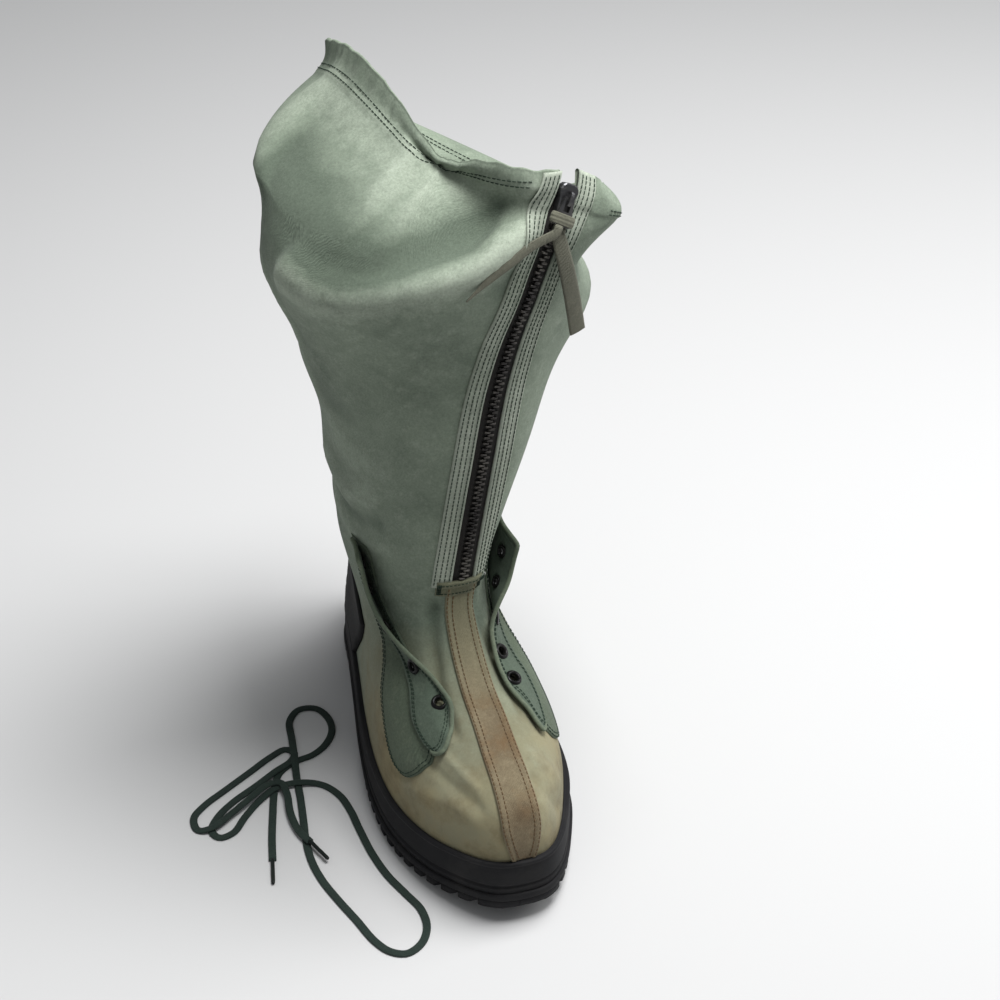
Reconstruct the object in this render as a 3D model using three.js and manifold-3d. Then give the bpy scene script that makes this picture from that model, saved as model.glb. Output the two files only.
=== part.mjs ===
// Extreme cold weather boot for the right foot: a slack canvas shaft and vamp on a moulded rubber
// sole, with a front zip, a lace flap on each side of the instep and a loose lace on the floor.
// Millimetres, +Z up. The toe points to -Y, the wearer's outer (lateral) side to -X and the inner
// (medial) side to +X. The floor is z = 0 and the middle of the sole's length is y = 0.
import * as THREE from 'three';
import { mergeVertices } from 'three/addons/utils/BufferGeometryUtils.js';
import Module from 'manifold-3d';

const wasm = await Module();
wasm.setup();

// Sole
const soleLength = 320;
const ballLateral = 67;        // widest half width, measured from the heel to toe line
const ballMedial = 60;
const toeShift = 8;            // the toe tip lies this far to the medial side
const toeSpring = 12;          // rise of the toe tip over the floor
const springStart = 60;        // the sole starts to rise this far in front of its middle
const lugDepth = 6;
const lugLength = 6.5;
const lugGap = 4;
const centreGroove = 5;
const grooveEnd = 30;          // the centre groove stops this far from the toe and the heel
const plateTop = 11;           // top of the outsole's plate
const plateLip = 2;            // the outsole's edge stands this far out of the foxing
const archRecess = 3;          // the waist is lifted off the floor by this much
const archFront = 8;           // the waist starts this far behind the middle of the sole
const archLength = 84;
// Foxing, the rubber wall round the foot
const foxingTop = 35;
const foxingFoot = 4.4;        // thickness at the sole
const foxingLip = 2.2;         // thickness at the top edge
const foxingGroove = 0.9;
const lastDraft = 1.3;         // the upper stands this much further in than the foxing's foot
// Upper
const collarHeight = 412;      // at the zip
const canvas = 1.8;
const hemStep = 0.9;           // the drawcord casing is thicker than the plain wall by this much
const hemHeight = 21;
const ringShare = 0.95;        // the way from ring 0 to ring 1 rises this share of the shaft
const clearance = 0.3;         // between two curved pieces that touch
const cutDepth = 6;            // a cutter reaches this far in and out of the upper's face
// Heel counter
const counterThickness = 2.4;
const counterTop = 108;
const counterReach = 30;       // its front tip lies this far behind the middle of the sole
const counterSlant = 32;       // its front edge meets the foxing this much further back
const counterTipTop = 90;
const counterFootRing = 0.0535; // the cup starts just above the foxing's lip
// Felt insole
const insoleThickness = 9;
// Front strip, zip and facings
const stripTopWidth = 18;
const stripBallWidth = 24;
const stripToeWidth = 13;
const stripThickness = 1.2;
const stripEndRing = 0.054;    // the strip ends just above the foxing's lip
const stripGap = 0.003;        // of the way up, between the strip and the zip
const zipWidth = 13;
const tapeThickness = 1;
const chainWidth = 6.4;
const chainThickness = 2.6;
const facingWidth = 12;
const facingThickness = 1.1;
const zipBottom = 155;
const slitPast = 0.03;         // the cutter for the zip's slit runs this share past the collar
const shieldWidth = 40;
const shieldThickness = 1.2;
// Slider and pull
const sliderHeight = 399;
const sliderLength = 15;
const sliderWidth = 10.2;
const sliderThickness = 5.4;
const bridgeHeight = 4.2;
const bridgeReach = 4;
const bridgeBar = 1.2;
const tabLength = 15;
const tabWidth = 7;
const tabBase = 12;            // the tab widens to this at its lower end
const tabPin = 1.8;            // thickness of the tab and of its hinge pin
const ribbonThickness = 1;
const knotLength = 6;
const tailStraight = 4;        // a ribbon tail leaves the knot straight for this length
const tailSteps = 12;
const knotPlace = 11.4;        // from the hinge pin to the middle of the knot
// Lace flaps
const patchThickness = 1.1;
const flapThickness = 2;
const flapColumns = 5;
const eyeletOuter = 10.6;
const eyeletBore = 5;
const eyeletBarrel = 3.1;      // radius of the barrel through the flap
const eyeletSeat = 1.3;       // the flange clears the curved flap by this much
const eyeletFlange = 1.2;
const eyeletWasher = 0.9;      // the washer behind the flap reaches this far past the barrel
const eyeletRim = 0.4;
const eyeletInset = 8.5;       // from the flap's free edge
// Lace
const laceWidth = 4.8;
const laceThickness = 1.5;
const laceSides = 8;
const laceSteps = 72;
const laceFloorGap = 0.1;
const laceLayerGap = 0.4;      // between the lace and what it crosses
const agletLength = 19;
const agletWidth = 2.6;

const halfLength = soleLength / 2;
const tailOff = tabPin / 2 + clearance + ribbonThickness / 2;
const edgeInset = foxingFoot + clearance + lastDraft;
const lastHalf = halfLength - edgeInset;
const lastLateral = ballLateral - edgeInset;
const lastMedial = ballMedial - edgeInset;
const upperFoot = plateTop + clearance;
const shaftRise = collarHeight - foxingTop;
const ringRise = shaftRise * ringShare;  // height of the way from ring 0 to ring 1 near the collar
const hemRing = 1 - hemHeight / ringRise;
const degree = Math.PI / 180;

// Half widths of the foot's outline, from the heel (0) to the toe (1), as shares of the ball's.
const outline = [
  { at: 0.00, lateral: 0.74, medial: 0.83 },
  { at: 0.12, lateral: 0.83, medial: 0.90 },
  { at: 0.22, lateral: 0.79, medial: 0.82 },
  { at: 0.35, lateral: 0.82, medial: 0.76 },
  { at: 0.50, lateral: 0.91, medial: 0.84 },
  { at: 0.64, lateral: 1.00, medial: 0.99 },
  { at: 0.76, lateral: 1.03, medial: 1.02 },
  { at: 0.87, lateral: 0.97, medial: 0.93 },
  { at: 0.94, lateral: 0.86, medial: 0.87 },
  { at: 1.00, lateral: 0.76, medial: 0.83 },
];
const outlineRound = 0.7;
const facetTurns = 40;         // facets round the foot and the upper

// The upper's rings, from the feather line (0) to the collar (1). frontY and backY are shares of
// the last's half length, frontX, backX and medial of its medial width, lateral of its lateral
// width, and the rises of the way from the foxing's top to the collar. foot is how much of the
// sole's outline the ring keeps, round its squareness, skewOut and skewIn how far forward its
// lateral and medial sides are widest, hike how much higher the lateral side lies and drop how
// much lower the medial one.
const rings = [
  { at: 0, frontX: 0.15, frontY: -1, frontRise: -0.063, backX: 0, backY: 1, backRise: -0.063,
    lateral: 1, medial: 1, foot: 1, round: 0.7, skewOut: 0, skewIn: 0, hike: 0, drop: 0 },
  { at: 0.05, frontX: 0.15, frontY: -1.002, frontRise: 0, backX: 0, backY: 1.002, backRise: 0,
    lateral: 1, medial: 1, foot: 1, round: 0.7, skewOut: 0, skewIn: 0, hike: 0, drop: 0 },
  { at: 0.1, frontX: 0.15, frontY: -0.994, frontRise: 0.04, backX: 0, backY: 0.998, backRise: 0.037,
    lateral: 0.98, medial: 0.98, foot: 1, round: 0.71, skewOut: 0, skewIn: 0, hike: 0, drop: 0 },
  { at: 0.15, frontX: 0.15, frontY: -0.95, frontRise: 0.083, backX: 0, backY: 0.99, backRise: 0.072,
    lateral: 0.94, medial: 0.93, foot: 1, round: 0.73, skewOut: 0, skewIn: 0, hike: 0, drop: 0 },
  { at: 0.2, frontX: 0.14, frontY: -0.85, frontRise: 0.118, backX: 0, backY: 0.98, backRise: 0.101,
    lateral: 0.89, medial: 0.86, foot: 0.9, round: 0.76, skewOut: 0, skewIn: 0, hike: 0, drop: 0 },
  { at: 0.25, frontX: 0.12, frontY: -0.727, frontRise: 0.143, backX: 0, backY: 0.967, backRise: 0.127,
    lateral: 0.84, medial: 0.8, foot: 0.75, round: 0.8, skewOut: 0, skewIn: 0, hike: 0, drop: 0 },
  { at: 0.3, frontX: 0.11, frontY: -0.6, frontRise: 0.164, backX: 0, backY: 0.955, backRise: 0.151,
    lateral: 0.8, medial: 0.74, foot: 0.55, round: 0.84, skewOut: 0, skewIn: 0, hike: 0, drop: 0 },
  { at: 0.35, frontX: 0.09, frontY: -0.474, frontRise: 0.181, backX: 0, backY: 0.945, backRise: 0.173,
    lateral: 0.78, medial: 0.69, foot: 0.35, round: 0.86, skewOut: 0, skewIn: 0, hike: 0, drop: 0 },
  { at: 0.4, frontX: 0.08, frontY: -0.36, frontRise: 0.203, backX: 0, backY: 0.935, backRise: 0.196,
    lateral: 0.78, medial: 0.64, foot: 0.2, round: 0.88, skewOut: 0, skewIn: 0, hike: 0, drop: 0 },
  { at: 0.45, frontX: 0.07, frontY: -0.268, frontRise: 0.236, backX: 0, backY: 0.928, backRise: 0.224,
    lateral: 0.8, medial: 0.6, foot: 0.1, round: 0.88, skewOut: 0, skewIn: 0, hike: 0, drop: 0 },
  { at: 0.5, frontX: 0.07, frontY: -0.208, frontRise: 0.277, backX: 0, backY: 0.92, backRise: 0.26,
    lateral: 0.83, medial: 0.59, foot: 0, round: 0.88, skewOut: 0, skewIn: 0, hike: 0, drop: 0 },
  { at: 0.55, frontX: 0.12, frontY: -0.184, frontRise: 0.324, backX: 0.02, backY: 0.905, backRise: 0.306,
    lateral: 0.88, medial: 0.61, foot: 0, round: 0.87, skewOut: 0, skewIn: 0, hike: 0, drop: 0 },
  { at: 0.62, frontX: 0.21, frontY: -0.184, frontRise: 0.41, backX: 0.05, backY: 0.885, backRise: 0.396,
    lateral: 1.02, medial: 0.76, foot: 0, round: 0.86, skewOut: 0, skewIn: 0, hike: 0, drop: 0 },
  { at: 0.7, frontX: 0.34, frontY: -0.205, frontRise: 0.545, backX: 0.09, backY: 0.86, backRise: 0.536,
    lateral: 1.13, medial: 1, foot: 0, round: 0.86, skewOut: 0, skewIn: 0, hike: 0, drop: 0 },
  { at: 0.78, frontX: 0.51, frontY: -0.21, frontRise: 0.69, backX: 0.08, backY: 0.825, backRise: 0.69,
    lateral: 1.45, medial: 1.18, foot: 0, round: 0.87, skewOut: 0, skewIn: 0, hike: 0, drop: 0 },
  { at: 0.86, frontX: 0.79, frontY: -0.212, frontRise: 0.83, backX: -0.05, backY: 0.8, backRise: 0.85,
    lateral: 1.76, medial: 1.22, foot: 0, round: 0.86, skewOut: 0, skewIn: 0.1, hike: 0, drop: 0.02 },
  { at: 0.92, frontX: 1.04, frontY: -0.19, frontRise: 0.915, backX: -0.18, backY: 0.81, backRise: 0.955,
    lateral: 1.72, medial: 1.06, foot: 0, round: 0.84, skewOut: 0.1, skewIn: 0.3, hike: 0.01, drop: 0.05 },
  { at: 0.955, frontX: 1.2, frontY: -0.14, frontRise: 0.955, backX: -0.38, backY: 0.835, backRise: 1.015,
    lateral: 0.8, medial: 0.74, foot: 0, round: 0.8, skewOut: 0.4, skewIn: 0.6, hike: 0.02, drop: 0.09 },
  { at: 1, frontX: 1.33, frontY: -0.072, frontRise: 1, backX: -0.44, backY: 0.858, backRise: 1.064,
    lateral: 0.62, medial: 0.5, foot: 0, round: 0.78, skewOut: 0.6, skewIn: 0.8, hike: 0.027, drop: 0.12 },
];

rings[0].frontRise = (upperFoot - foxingTop) / shaftRise;
rings[0].backRise = rings[0].frontRise;

// The rings that the upper and what lies on it have in common.
const facetRings = [0, 0.05, 0.1, 0.15, 0.2, 0.25, 0.3, 0.345, 0.385, 0.42, 0.455, 0.495, 0.54, 0.585,
  0.62, 0.67, 0.72, 0.77, 0.81, 0.85, 0.89, 0.915, 0.938, 0.946, 0.973, 1];
const zipEndRing = 0.973;

// Soft folds of the slack shaft. turn is in degrees from the zip, medial positive, at is the ring,
// turnReach and atReach are half widths there, and out is a share of the last's medial width.
const folds = [
  { name: 'hollow under the collar', turn: -52, at: 0.950, turnReach: 34, atReach: 0.028, out: -0.55 },
  { name: 'ridge over the shin', turn: -45, at: 0.865, turnReach: 48, atReach: 0.030, out: 0.10 },
  { name: 'rear shoulder', turn: -138, at: 0.938, turnReach: 40, atReach: 0.026, out: 0.42 },
  { name: 'corner by the zip', turn: 28, at: 0.965, turnReach: 20, atReach: 0.055, out: 0.42 },
  { name: 'rear lateral dent', turn: -112, at: 0.80, turnReach: 30, atReach: 0.030, out: -0.10 },
  { name: 'inner rear bulge', turn: 84, at: 0.80, turnReach: 30, atReach: 0.042, out: 0.42 },
  { name: 'inner trough', turn: 56, at: 0.875, turnReach: 24, atReach: 0.020, out: -0.10 },
  { name: 'ankle crease', turn: -100, at: 0.60, turnReach: 30, atReach: 0.022, out: -0.07 },
  { name: 'rear ankle crease', turn: 150, at: 0.585, turnReach: 34, atReach: 0.022, out: -0.09 },
  { name: 'rear shaft fold', turn: 170, at: 0.72, turnReach: 34, atReach: 0.028, out: 0.12 },
];

// Lace flaps. at runs from the lower end (0) to the top (1), ring is the upper's ring, edge and seam
// are distances from the zip line to the free and the sewn edge, and lift is how far the free edge
// stands off the upper.
const lateralFlap = [
  { at: 0.00, ring: 0.226, edge: 45, seam: 51, lift: 0.5 },
  { at: 0.06, ring: 0.238, edge: 37, seam: 58, lift: 0.8 },
  { at: 0.16, ring: 0.258, edge: 31, seam: 61, lift: 1.2 },
  { at: 0.28, ring: 0.290, edge: 25, seam: 58, lift: 2 },
  { at: 0.42, ring: 0.335, edge: 20, seam: 52, lift: 3 },
  { at: 0.56, ring: 0.390, edge: 30, seam: 51, lift: 6.5 },
  { at: 0.70, ring: 0.450, edge: 44, seam: 64, lift: 9 },
  { at: 0.85, ring: 0.515, edge: 54, seam: 72, lift: 9 },
  { at: 1.00, ring: 0.575, edge: 61, seam: 79, lift: 9 },
];
const medialFlap = [
  { at: 0.00, ring: 0.216, edge: 50, seam: 56, lift: 0.5 },
  { at: 0.06, ring: 0.228, edge: 43, seam: 62, lift: 0.8 },
  { at: 0.16, ring: 0.250, edge: 38, seam: 64, lift: 1 },
  { at: 0.28, ring: 0.288, edge: 31, seam: 60, lift: 1.4 },
  { at: 0.42, ring: 0.340, edge: 20, seam: 50, lift: 2 },
  { at: 0.56, ring: 0.395, edge: 16, seam: 42, lift: 3 },
  { at: 0.70, ring: 0.455, edge: 17, seam: 42, lift: 6 },
  { at: 0.85, ring: 0.520, edge: 24, seam: 48, lift: 13 },
  { at: 1.00, ring: 0.585, edge: 30, seam: 52, lift: 13 },
];
// The patches under the flaps, between an inner and an outer distance from the zip line.
const lateralPatch = [
  { at: 0.00, ring: 0.140, inner: 90, outer: 102 },
  { at: 0.08, ring: 0.152, inner: 78, outer: 111 },
  { at: 0.18, ring: 0.176, inner: 66, outer: 115 },
  { at: 0.32, ring: 0.220, inner: 49, outer: 113 },
  { at: 0.48, ring: 0.280, inner: 45, outer: 98 },
  { at: 0.62, ring: 0.340, inner: 42, outer: 82 },
  { at: 0.76, ring: 0.400, inner: 42, outer: 72 },
  { at: 0.88, ring: 0.480, inner: 54, outer: 78 },
  { at: 1.00, ring: 0.575, inner: 66, outer: 84 },
];
const medialPatch = [
  { at: 0.00, ring: 0.140, inner: 92, outer: 104 },
  { at: 0.08, ring: 0.152, inner: 80, outer: 112 },
  { at: 0.18, ring: 0.176, inner: 68, outer: 115 },
  { at: 0.32, ring: 0.220, inner: 54, outer: 110 },
  { at: 0.48, ring: 0.280, inner: 46, outer: 92 },
  { at: 0.62, ring: 0.340, inner: 36, outer: 78 },
  { at: 0.76, ring: 0.400, inner: 32, outer: 68 },
  { at: 0.88, ring: 0.490, inner: 36, outer: 63 },
  { at: 1.00, ring: 0.585, inner: 44, outer: 68 },
];
const eyeletPlaces = [0.39, 0.54, 0.68, 0.81, 0.93];

// The two ribbon tails on the pull tab. down, inward (to the medial side) and forward are measured
// from the end of the tail's straight start.
const wideTail = [
  { at: 0.0, down: 1, inward: 0, forward: 0.5, width: 8 },
  { at: 0.2, down: 10, inward: 2, forward: 2.5, width: 9 },
  { at: 0.4, down: 22, inward: 4.5, forward: 4, width: 9.5 },
  { at: 0.7, down: 40, inward: 8, forward: 4, width: 10 },
  { at: 1.0, down: 62, inward: 12, forward: 2, width: 10 },
];
const thinTail = [
  { at: 0.0, down: 1, inward: -2, forward: 0.5, width: 5 },
  { at: 0.25, down: 4, inward: -15, forward: 4, width: 5 },
  { at: 0.5, down: 10, inward: -28, forward: 8, width: 5 },
  { at: 0.75, down: 17, inward: -41, forward: 11, width: 4 },
  { at: 1.0, down: 26, inward: -54, forward: 14, width: 2.5 },
];

// The collar's edge sags and rises along its way. lift is a share of the way from the foxing's top
// to the collar, and fades out below the ring collarSoftFrom.
const collarWaves = [
  { name: 'sag over the shin', turn: -70, turnReach: 19, lift: -0.044 },
  { name: 'rear lateral rise', turn: -124, turnReach: 26, lift: 0.02 },
  { name: 'medial sag', turn: 98, turnReach: 28, lift: -0.024 },
];
const collarSoftFrom = 0.92;

// A smooth curve through one column of a table, whose rows give their place in the column named at.
function column(table, name, at) {
  const last = table.length - 1;
  let k = 0;
  while (k < last - 1 && at > table[k + 1].at) k += 1;
  const slope = (i) => {
    const before = table[Math.max(i - 1, 0)];
    const after = table[Math.min(i + 1, last)];
    return (after[name] - before[name]) / (after.at - before.at);
  };
  const span = table[k + 1].at - table[k].at;
  const t = Math.min(Math.max((at - table[k].at) / span, 0), 1);
  const value = table[k][name];
  const change = table[k + 1][name] - value;
  const rise = slope(k) * span;
  const fall = slope(k + 1) * span;
  return value + rise * t + (3 * change - 2 * rise - fall) * t * t + (rise + fall - 2 * change) * t * t * t;
}

function clamp(value, low, high) {
  return Math.min(Math.max(value, low), high);
}

function mix(a, b, share) {
  return a + (b - a) * share;
}

// How far the sole and the foot rise over the floor towards the toe.
function spring(y) {
  const share = Math.max((-y - springStart) / (halfLength - springStart), 0);
  return toeSpring * share * share;
}

// A point of the sole's edge. turn runs from the toe (0) round the medial side to the heel (180)
// and negative round the lateral side. inset moves it in from the outsole's edge.
function soleEdge(turn, inset) {
  const angle = Math.abs(turn) * degree;
  const forward = Math.cos(angle);
  const half = halfLength - inset;
  const share = (1 + forward) / 2;
  const side = turn < 0 ? 'lateral' : 'medial';
  const width = (turn < 0 ? ballLateral : ballMedial) - inset;
  const reach = width * column(outline, side, share) * Math.max(Math.sin(angle), 0) ** outlineRound;
  const x = toeShift * share + Math.sign(turn) * reach;
  return new THREE.Vector2(x, -half * forward);
}

function bell(turn, spot) {
  const across = (((turn - spot.turn + 540) % 360) - 180) / spot.turnReach;
  return Math.exp(-across * across);
}

function collarWave(turn, at) {
  const share = clamp((at - collarSoftFrom) / (1 - collarSoftFrom), 0, 1);
  return collarWaves.reduce((sum, wave) => sum + wave.lift * bell(turn, wave), 0) * share * share;
}

// A point of the upper's outer face, before its folds.
function ringPoint(turn, at) {
  const ring = {};
  for (const name of Object.keys(rings[0])) ring[name] = column(rings, name, at);
  const side = turn < 0 ? -1 : 1;
  const angle = Math.abs(turn) * degree;
  const share = (1 - Math.cos(angle)) / 2;
  const front = new THREE.Vector2(ring.frontX * lastMedial, ring.frontY * lastHalf);
  const back = new THREE.Vector2(ring.backX * lastMedial, ring.backY * lastHalf);
  const axis = back.clone().sub(front).normalize();
  const shape = column(outline, side < 0 ? 'lateral' : 'medial', 1 - share);
  const skewed = angle + (side < 0 ? ring.skewOut : ring.skewIn) * Math.sin(angle);
  const width = side < 0 ? ring.lateral * lastLateral : ring.medial * lastMedial;
  const reach = width * mix(1, shape, ring.foot) * Math.max(Math.sin(skewed), 0) ** ring.round;
  const x = mix(front.x, back.x, share) - side * reach * -axis.y;
  const y = mix(front.y, back.y, share) - side * reach * axis.x;
  const tilt = side < 0 ? ring.hike : -ring.drop;
  const rise = mix(ring.frontRise, ring.backRise, share) + tilt * Math.sin(angle) + collarWave(turn, at);
  const centre = front.clone().add(back).multiplyScalar(0.5);
  const away = new THREE.Vector2(x - centre.x, y - centre.y).normalize();
  return { point: new THREE.Vector3(x, y, foxingTop + rise * shaftRise + spring(y)), away };
}

// The upper's outer face with its folds. turn is measured from the zip, at from the feather line.
function upperFace(turn, at) {
  const { point, away } = ringPoint(turn, at);
  let out = 0;
  for (const fold of folds) {
    const along = (at - fold.at) / fold.atReach;
    out += fold.out * lastMedial * bell(turn, fold) * Math.exp(-along * along);
  }
  point.x += away.x * out;
  point.y += away.y * out;
  return point;
}

// The same face moved outwards along its normal.
function skin(turn, at, out) {
  const point = upperFace(turn, at);
  const stepTurn = 1.5;
  const stepAt = 0.004;
  const low = Math.max(at - stepAt, 0);
  const high = Math.min(at + stepAt, 1);
  const around = upperFace(turn + stepTurn, at).sub(upperFace(turn - stepTurn, at));
  const up = upperFace(turn, high).sub(upperFace(turn, low));
  const normal = around.cross(up).normalize();
  return point.addScaledVector(normal, out);
}

// The turn at which the face lies a given distance from the zip line, along the ring.
function turnAt(at, distance) {
  const step = Math.sign(distance) * 1.5;
  let turn = 0;
  let walked = 0;
  let before = upperFace(0, at);
  while (walked < Math.abs(distance) - 1e-6 && Math.abs(turn) < 170) {
    const next = upperFace(turn + step, at);
    const length = next.distanceTo(before);
    const share = Math.min((Math.abs(distance) - walked) / length, 1);
    turn += step * share;
    walked += length * share;
    before = next;
  }
  return turn;
}

// The ring at which the face, at a given turn, is a given height over the floor.
function ringAtHeight(turn, height) {
  let low = 0;
  let high = 1;
  for (let i = 0; i < 30; i += 1) {
    const middle = (low + high) / 2;
    if (upperFace(turn, middle).z < height) low = middle;
    else high = middle;
  }
  return (low + high) / 2;
}

// The turn on one side at which a ring is a given distance behind the middle of the sole.
function turnAtY(side, at, y) {
  let low = 20;
  let high = 175;
  for (let i = 0; i < 30; i += 1) {
    const middle = (low + high) / 2;
    if (upperFace(side * middle, at).y < y) low = middle;
    else high = middle;
  }
  return (side * (low + high)) / 2;
}

function geometryFrom(points, faces) {
  const geometry = new THREE.BufferGeometry();
  const numbers = points.flatMap((p) => [p.x, p.y, p.z]);
  geometry.setAttribute('position', new THREE.Float32BufferAttribute(numbers, 3));
  geometry.setIndex(faces.flat());
  return geometry;
}

function signedVolume(points, faces) {
  let sum = 0;
  const normal = new THREE.Vector3();
  for (const [a, b, c] of faces) sum += points[a].dot(normal.crossVectors(points[b], points[c]));
  return sum;
}

// A hollow wall between two grids of points, one row of rings for each turn. Both faces are split
// along the same diagonals, so that walls on the same face lie parallel.
function wallSolid(inside, outside) {
  const turns = inside.length;
  const last = inside[0].length - 1;
  const count = turns * (last + 1);
  const faces = [];
  for (let i = 0; i < turns; i += 1) {
    const here = i * (last + 1);
    const next = ((i + 1) % turns) * (last + 1);
    for (let j = 0; j < last; j += 1) {
      const [a, b, c, d] = [here + j, next + j, next + j + 1, here + j + 1];
      faces.push([a, b, c], [a, c, d]);
      faces.push([a + count, c + count, b + count], [a + count, d + count, c + count]);
    }
    const [c, d] = [next + last, here + last];
    faces.push([next, here, here + count], [next, here + count, next + count]);
    faces.push([d, c, c + count], [d, c + count, d + count]);
  }
  return closed(inside.flat().concat(outside.flat()), faces);
}

// A closed shape from rings of points in a row. Each end is closed by rungs between the points
// that face each other, so that a long end can follow a bend.
function stackSolid(grid) {
  const columns = grid[0].length;
  const faces = [];
  for (let i = 0; i < grid.length - 1; i += 1) {
    for (let j = 0; j < columns; j += 1) {
      const next = (j + 1) % columns;
      const a = i * columns + j;
      const b = (i + 1) * columns + j;
      faces.push([a, b, (i + 1) * columns + next], [a, (i + 1) * columns + next, i * columns + next]);
    }
  }
  const end = (grid.length - 1) * columns;
  for (let j = 0; j < columns / 2; j += 1) {
    const k = (columns - j) % columns;
    const corners = [j, j + 1, columns - j - 1, k];
    for (const [a, b, c] of [[0, 1, 2], [0, 2, 3]]) {
      const face = [corners[a], corners[b], corners[c]];
      if (new Set(face).size < 3) continue;
      faces.push(face);
      faces.push([end + face[0], end + face[2], end + face[1]]);
    }
  }
  return closed(grid.flat(), faces);
}

// A closed sheet between two grids of points, with a rim round it.
function sheetSolid(top, bottom) {
  const rows = top.length;
  const columns = top[0].length;
  const count = rows * columns;
  const faces = [];
  const at = (i, j, below) => i * columns + j + (below ? count : 0);
  for (let i = 0; i < rows - 1; i += 1) {
    for (let j = 0; j < columns - 1; j += 1) {
      faces.push([at(i, j), at(i + 1, j), at(i + 1, j + 1)], [at(i, j), at(i + 1, j + 1), at(i, j + 1)]);
      faces.push([at(i, j, 1), at(i + 1, j + 1, 1), at(i + 1, j, 1)]);
      faces.push([at(i, j, 1), at(i, j + 1, 1), at(i + 1, j + 1, 1)]);
    }
  }
  const rim = [];
  for (let j = 0; j < columns; j += 1) rim.push([0, j]);
  for (let i = 1; i < rows; i += 1) rim.push([i, columns - 1]);
  for (let j = columns - 2; j >= 0; j -= 1) rim.push([rows - 1, j]);
  for (let i = rows - 2; i > 0; i -= 1) rim.push([i, 0]);
  rim.forEach(([i, j], k) => {
    const [m, n] = rim[(k + 1) % rim.length];
    faces.push([at(i, j), at(m, n), at(m, n, 1)], [at(i, j), at(m, n, 1), at(i, j, 1)]);
  });
  return closed(top.flat().concat(bottom.flat()), faces);
}

function closed(points, faces) {
  if (signedVolume(points, faces) < 0) faces.forEach((face) => face.reverse());
  return geometryFrom(points, faces);
}

function toManifold(geometry) {
  const bare = new THREE.BufferGeometry();
  bare.setAttribute('position', geometry.getAttribute('position').clone());
  if (geometry.index) bare.setIndex(geometry.index.clone());
  const merged = mergeVertices(bare, 1e-4);
  const mesh = new wasm.Mesh({
    numProp: 3,
    vertProperties: new Float32Array(merged.getAttribute('position').array),
    triVerts: new Uint32Array(merged.index.array),
  });
  return new wasm.Manifold(mesh);
}

function fromManifold(solid) {
  const mesh = solid.getMesh();
  const geometry = new THREE.BufferGeometry();
  geometry.setAttribute('position', new THREE.BufferAttribute(new Float32Array(mesh.vertProperties), 3));
  geometry.setIndex(Array.from(mesh.triVerts));
  return geometry;
}

// A layer that follows the upper's own facets between two offsets from its face.
function layer(low, high) {
  const off = (value, at) => (typeof value === 'function' ? value(at) : value);
  const face = (out) => wholeTurn(facetTurns).map((turn) => facetRings.map((at) => skin(turn, at, off(out, at))));
  return toManifold(wallSolid(face(low), face(high)));
}

// The part of a layer that lies between two rings and two distances from the zip line.
function bandOnUpper(low, high, ats, left, right) {
  const grid = (out) => ats.map((at) => {
    const on = Math.min(at, 1);
    return [left(on), 0, right(on)].map((distance, k) => {
      const place = k === 1 ? (left(on) + right(on)) / 2 : distance;
      const point = skin(turnAt(on, place), on, out);
      point.z += (at - on) * ringRise;
      return point;
    });
  });
  return fromManifold(layer(low, high).intersect(toManifold(sheetSolid(grid(cutDepth), grid(-cutDepth)))));
}

function steps(from, to, count) {
  return Array.from({ length: count + 1 }, (_, k) => mix(from, to, k / count));
}

// The shared rings that lie between two others, with those two at the ends.
function ringsBetween(from, to) {
  const inside = facetRings.filter((at) => at > from + 0.006 && at < to - 0.006);
  return [from, ...inside, to];
}

function wholeTurn(count) {
  return Array.from({ length: count }, (_, k) => -180 + (360 * k) / count);
}

// Outsole: a plate with the foot's outline and bars across its underside. The bars are cut flat,
// and then the whole sole is bent up at the toe and lifted at the waist.
function outsoleGeometry() {
  const turns = wholeTurn(facetTurns);
  const levels = [
    { z: 0, inset: 0.8 },
    { z: lugDepth, inset: 0 },
    { z: plateTop - 1.5, inset: 0 },
    { z: plateTop, inset: plateLip - 0.4 },
  ];
  const block = stackSolid(levels.map(({ z, inset }) => turns.map((turn) => {
    const edge = soleEdge(turn, inset);
    return new THREE.Vector3(edge.x, edge.y, z);
  })));
  let sole = toManifold(block);
  const pitch = lugLength + lugGap;
  const count = Math.floor(soleLength / pitch);
  const start = -halfLength + (soleLength - count * pitch + lugLength) / 2;
  const wide = 2 * (ballLateral + ballMedial);
  for (let k = 0; k < count; k += 1) {
    const gap = new THREE.BoxGeometry(wide, lugGap, lugDepth + 2);
    gap.translate(0, start + k * pitch + lugGap / 2, lugDepth / 2 - 1);
    sole = sole.subtract(toManifold(gap));
  }
  const groove = new THREE.BoxGeometry(centreGroove, soleLength - 2 * grooveEnd, lugDepth);
  groove.translate(toeShift / 2, 0, lugDepth / 2 - 1);
  sole = sole.subtract(toManifold(groove));
  const geometry = fromManifold(sole);
  const position = geometry.getAttribute('position');
  for (let k = 0; k < position.count; k += 1) {
    const y = position.getY(k);
    const z = position.getZ(k);
    const waist = Math.sin(Math.PI * clamp((y - archFront) / archLength, 0, 1)) ** 2;
    const lift = z < lugDepth ? archRecess * waist * (1 - z / lugDepth) : 0;
    position.setZ(k, z + spring(y) + lift);
  }
  return geometry;
}

// The upper stands further in than the sole's edge, so the toe's spring differs by this much there.
function springGap(turn, at, y) {
  return spring(upperFace(turn, at).y) - spring(y);
}

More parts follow.
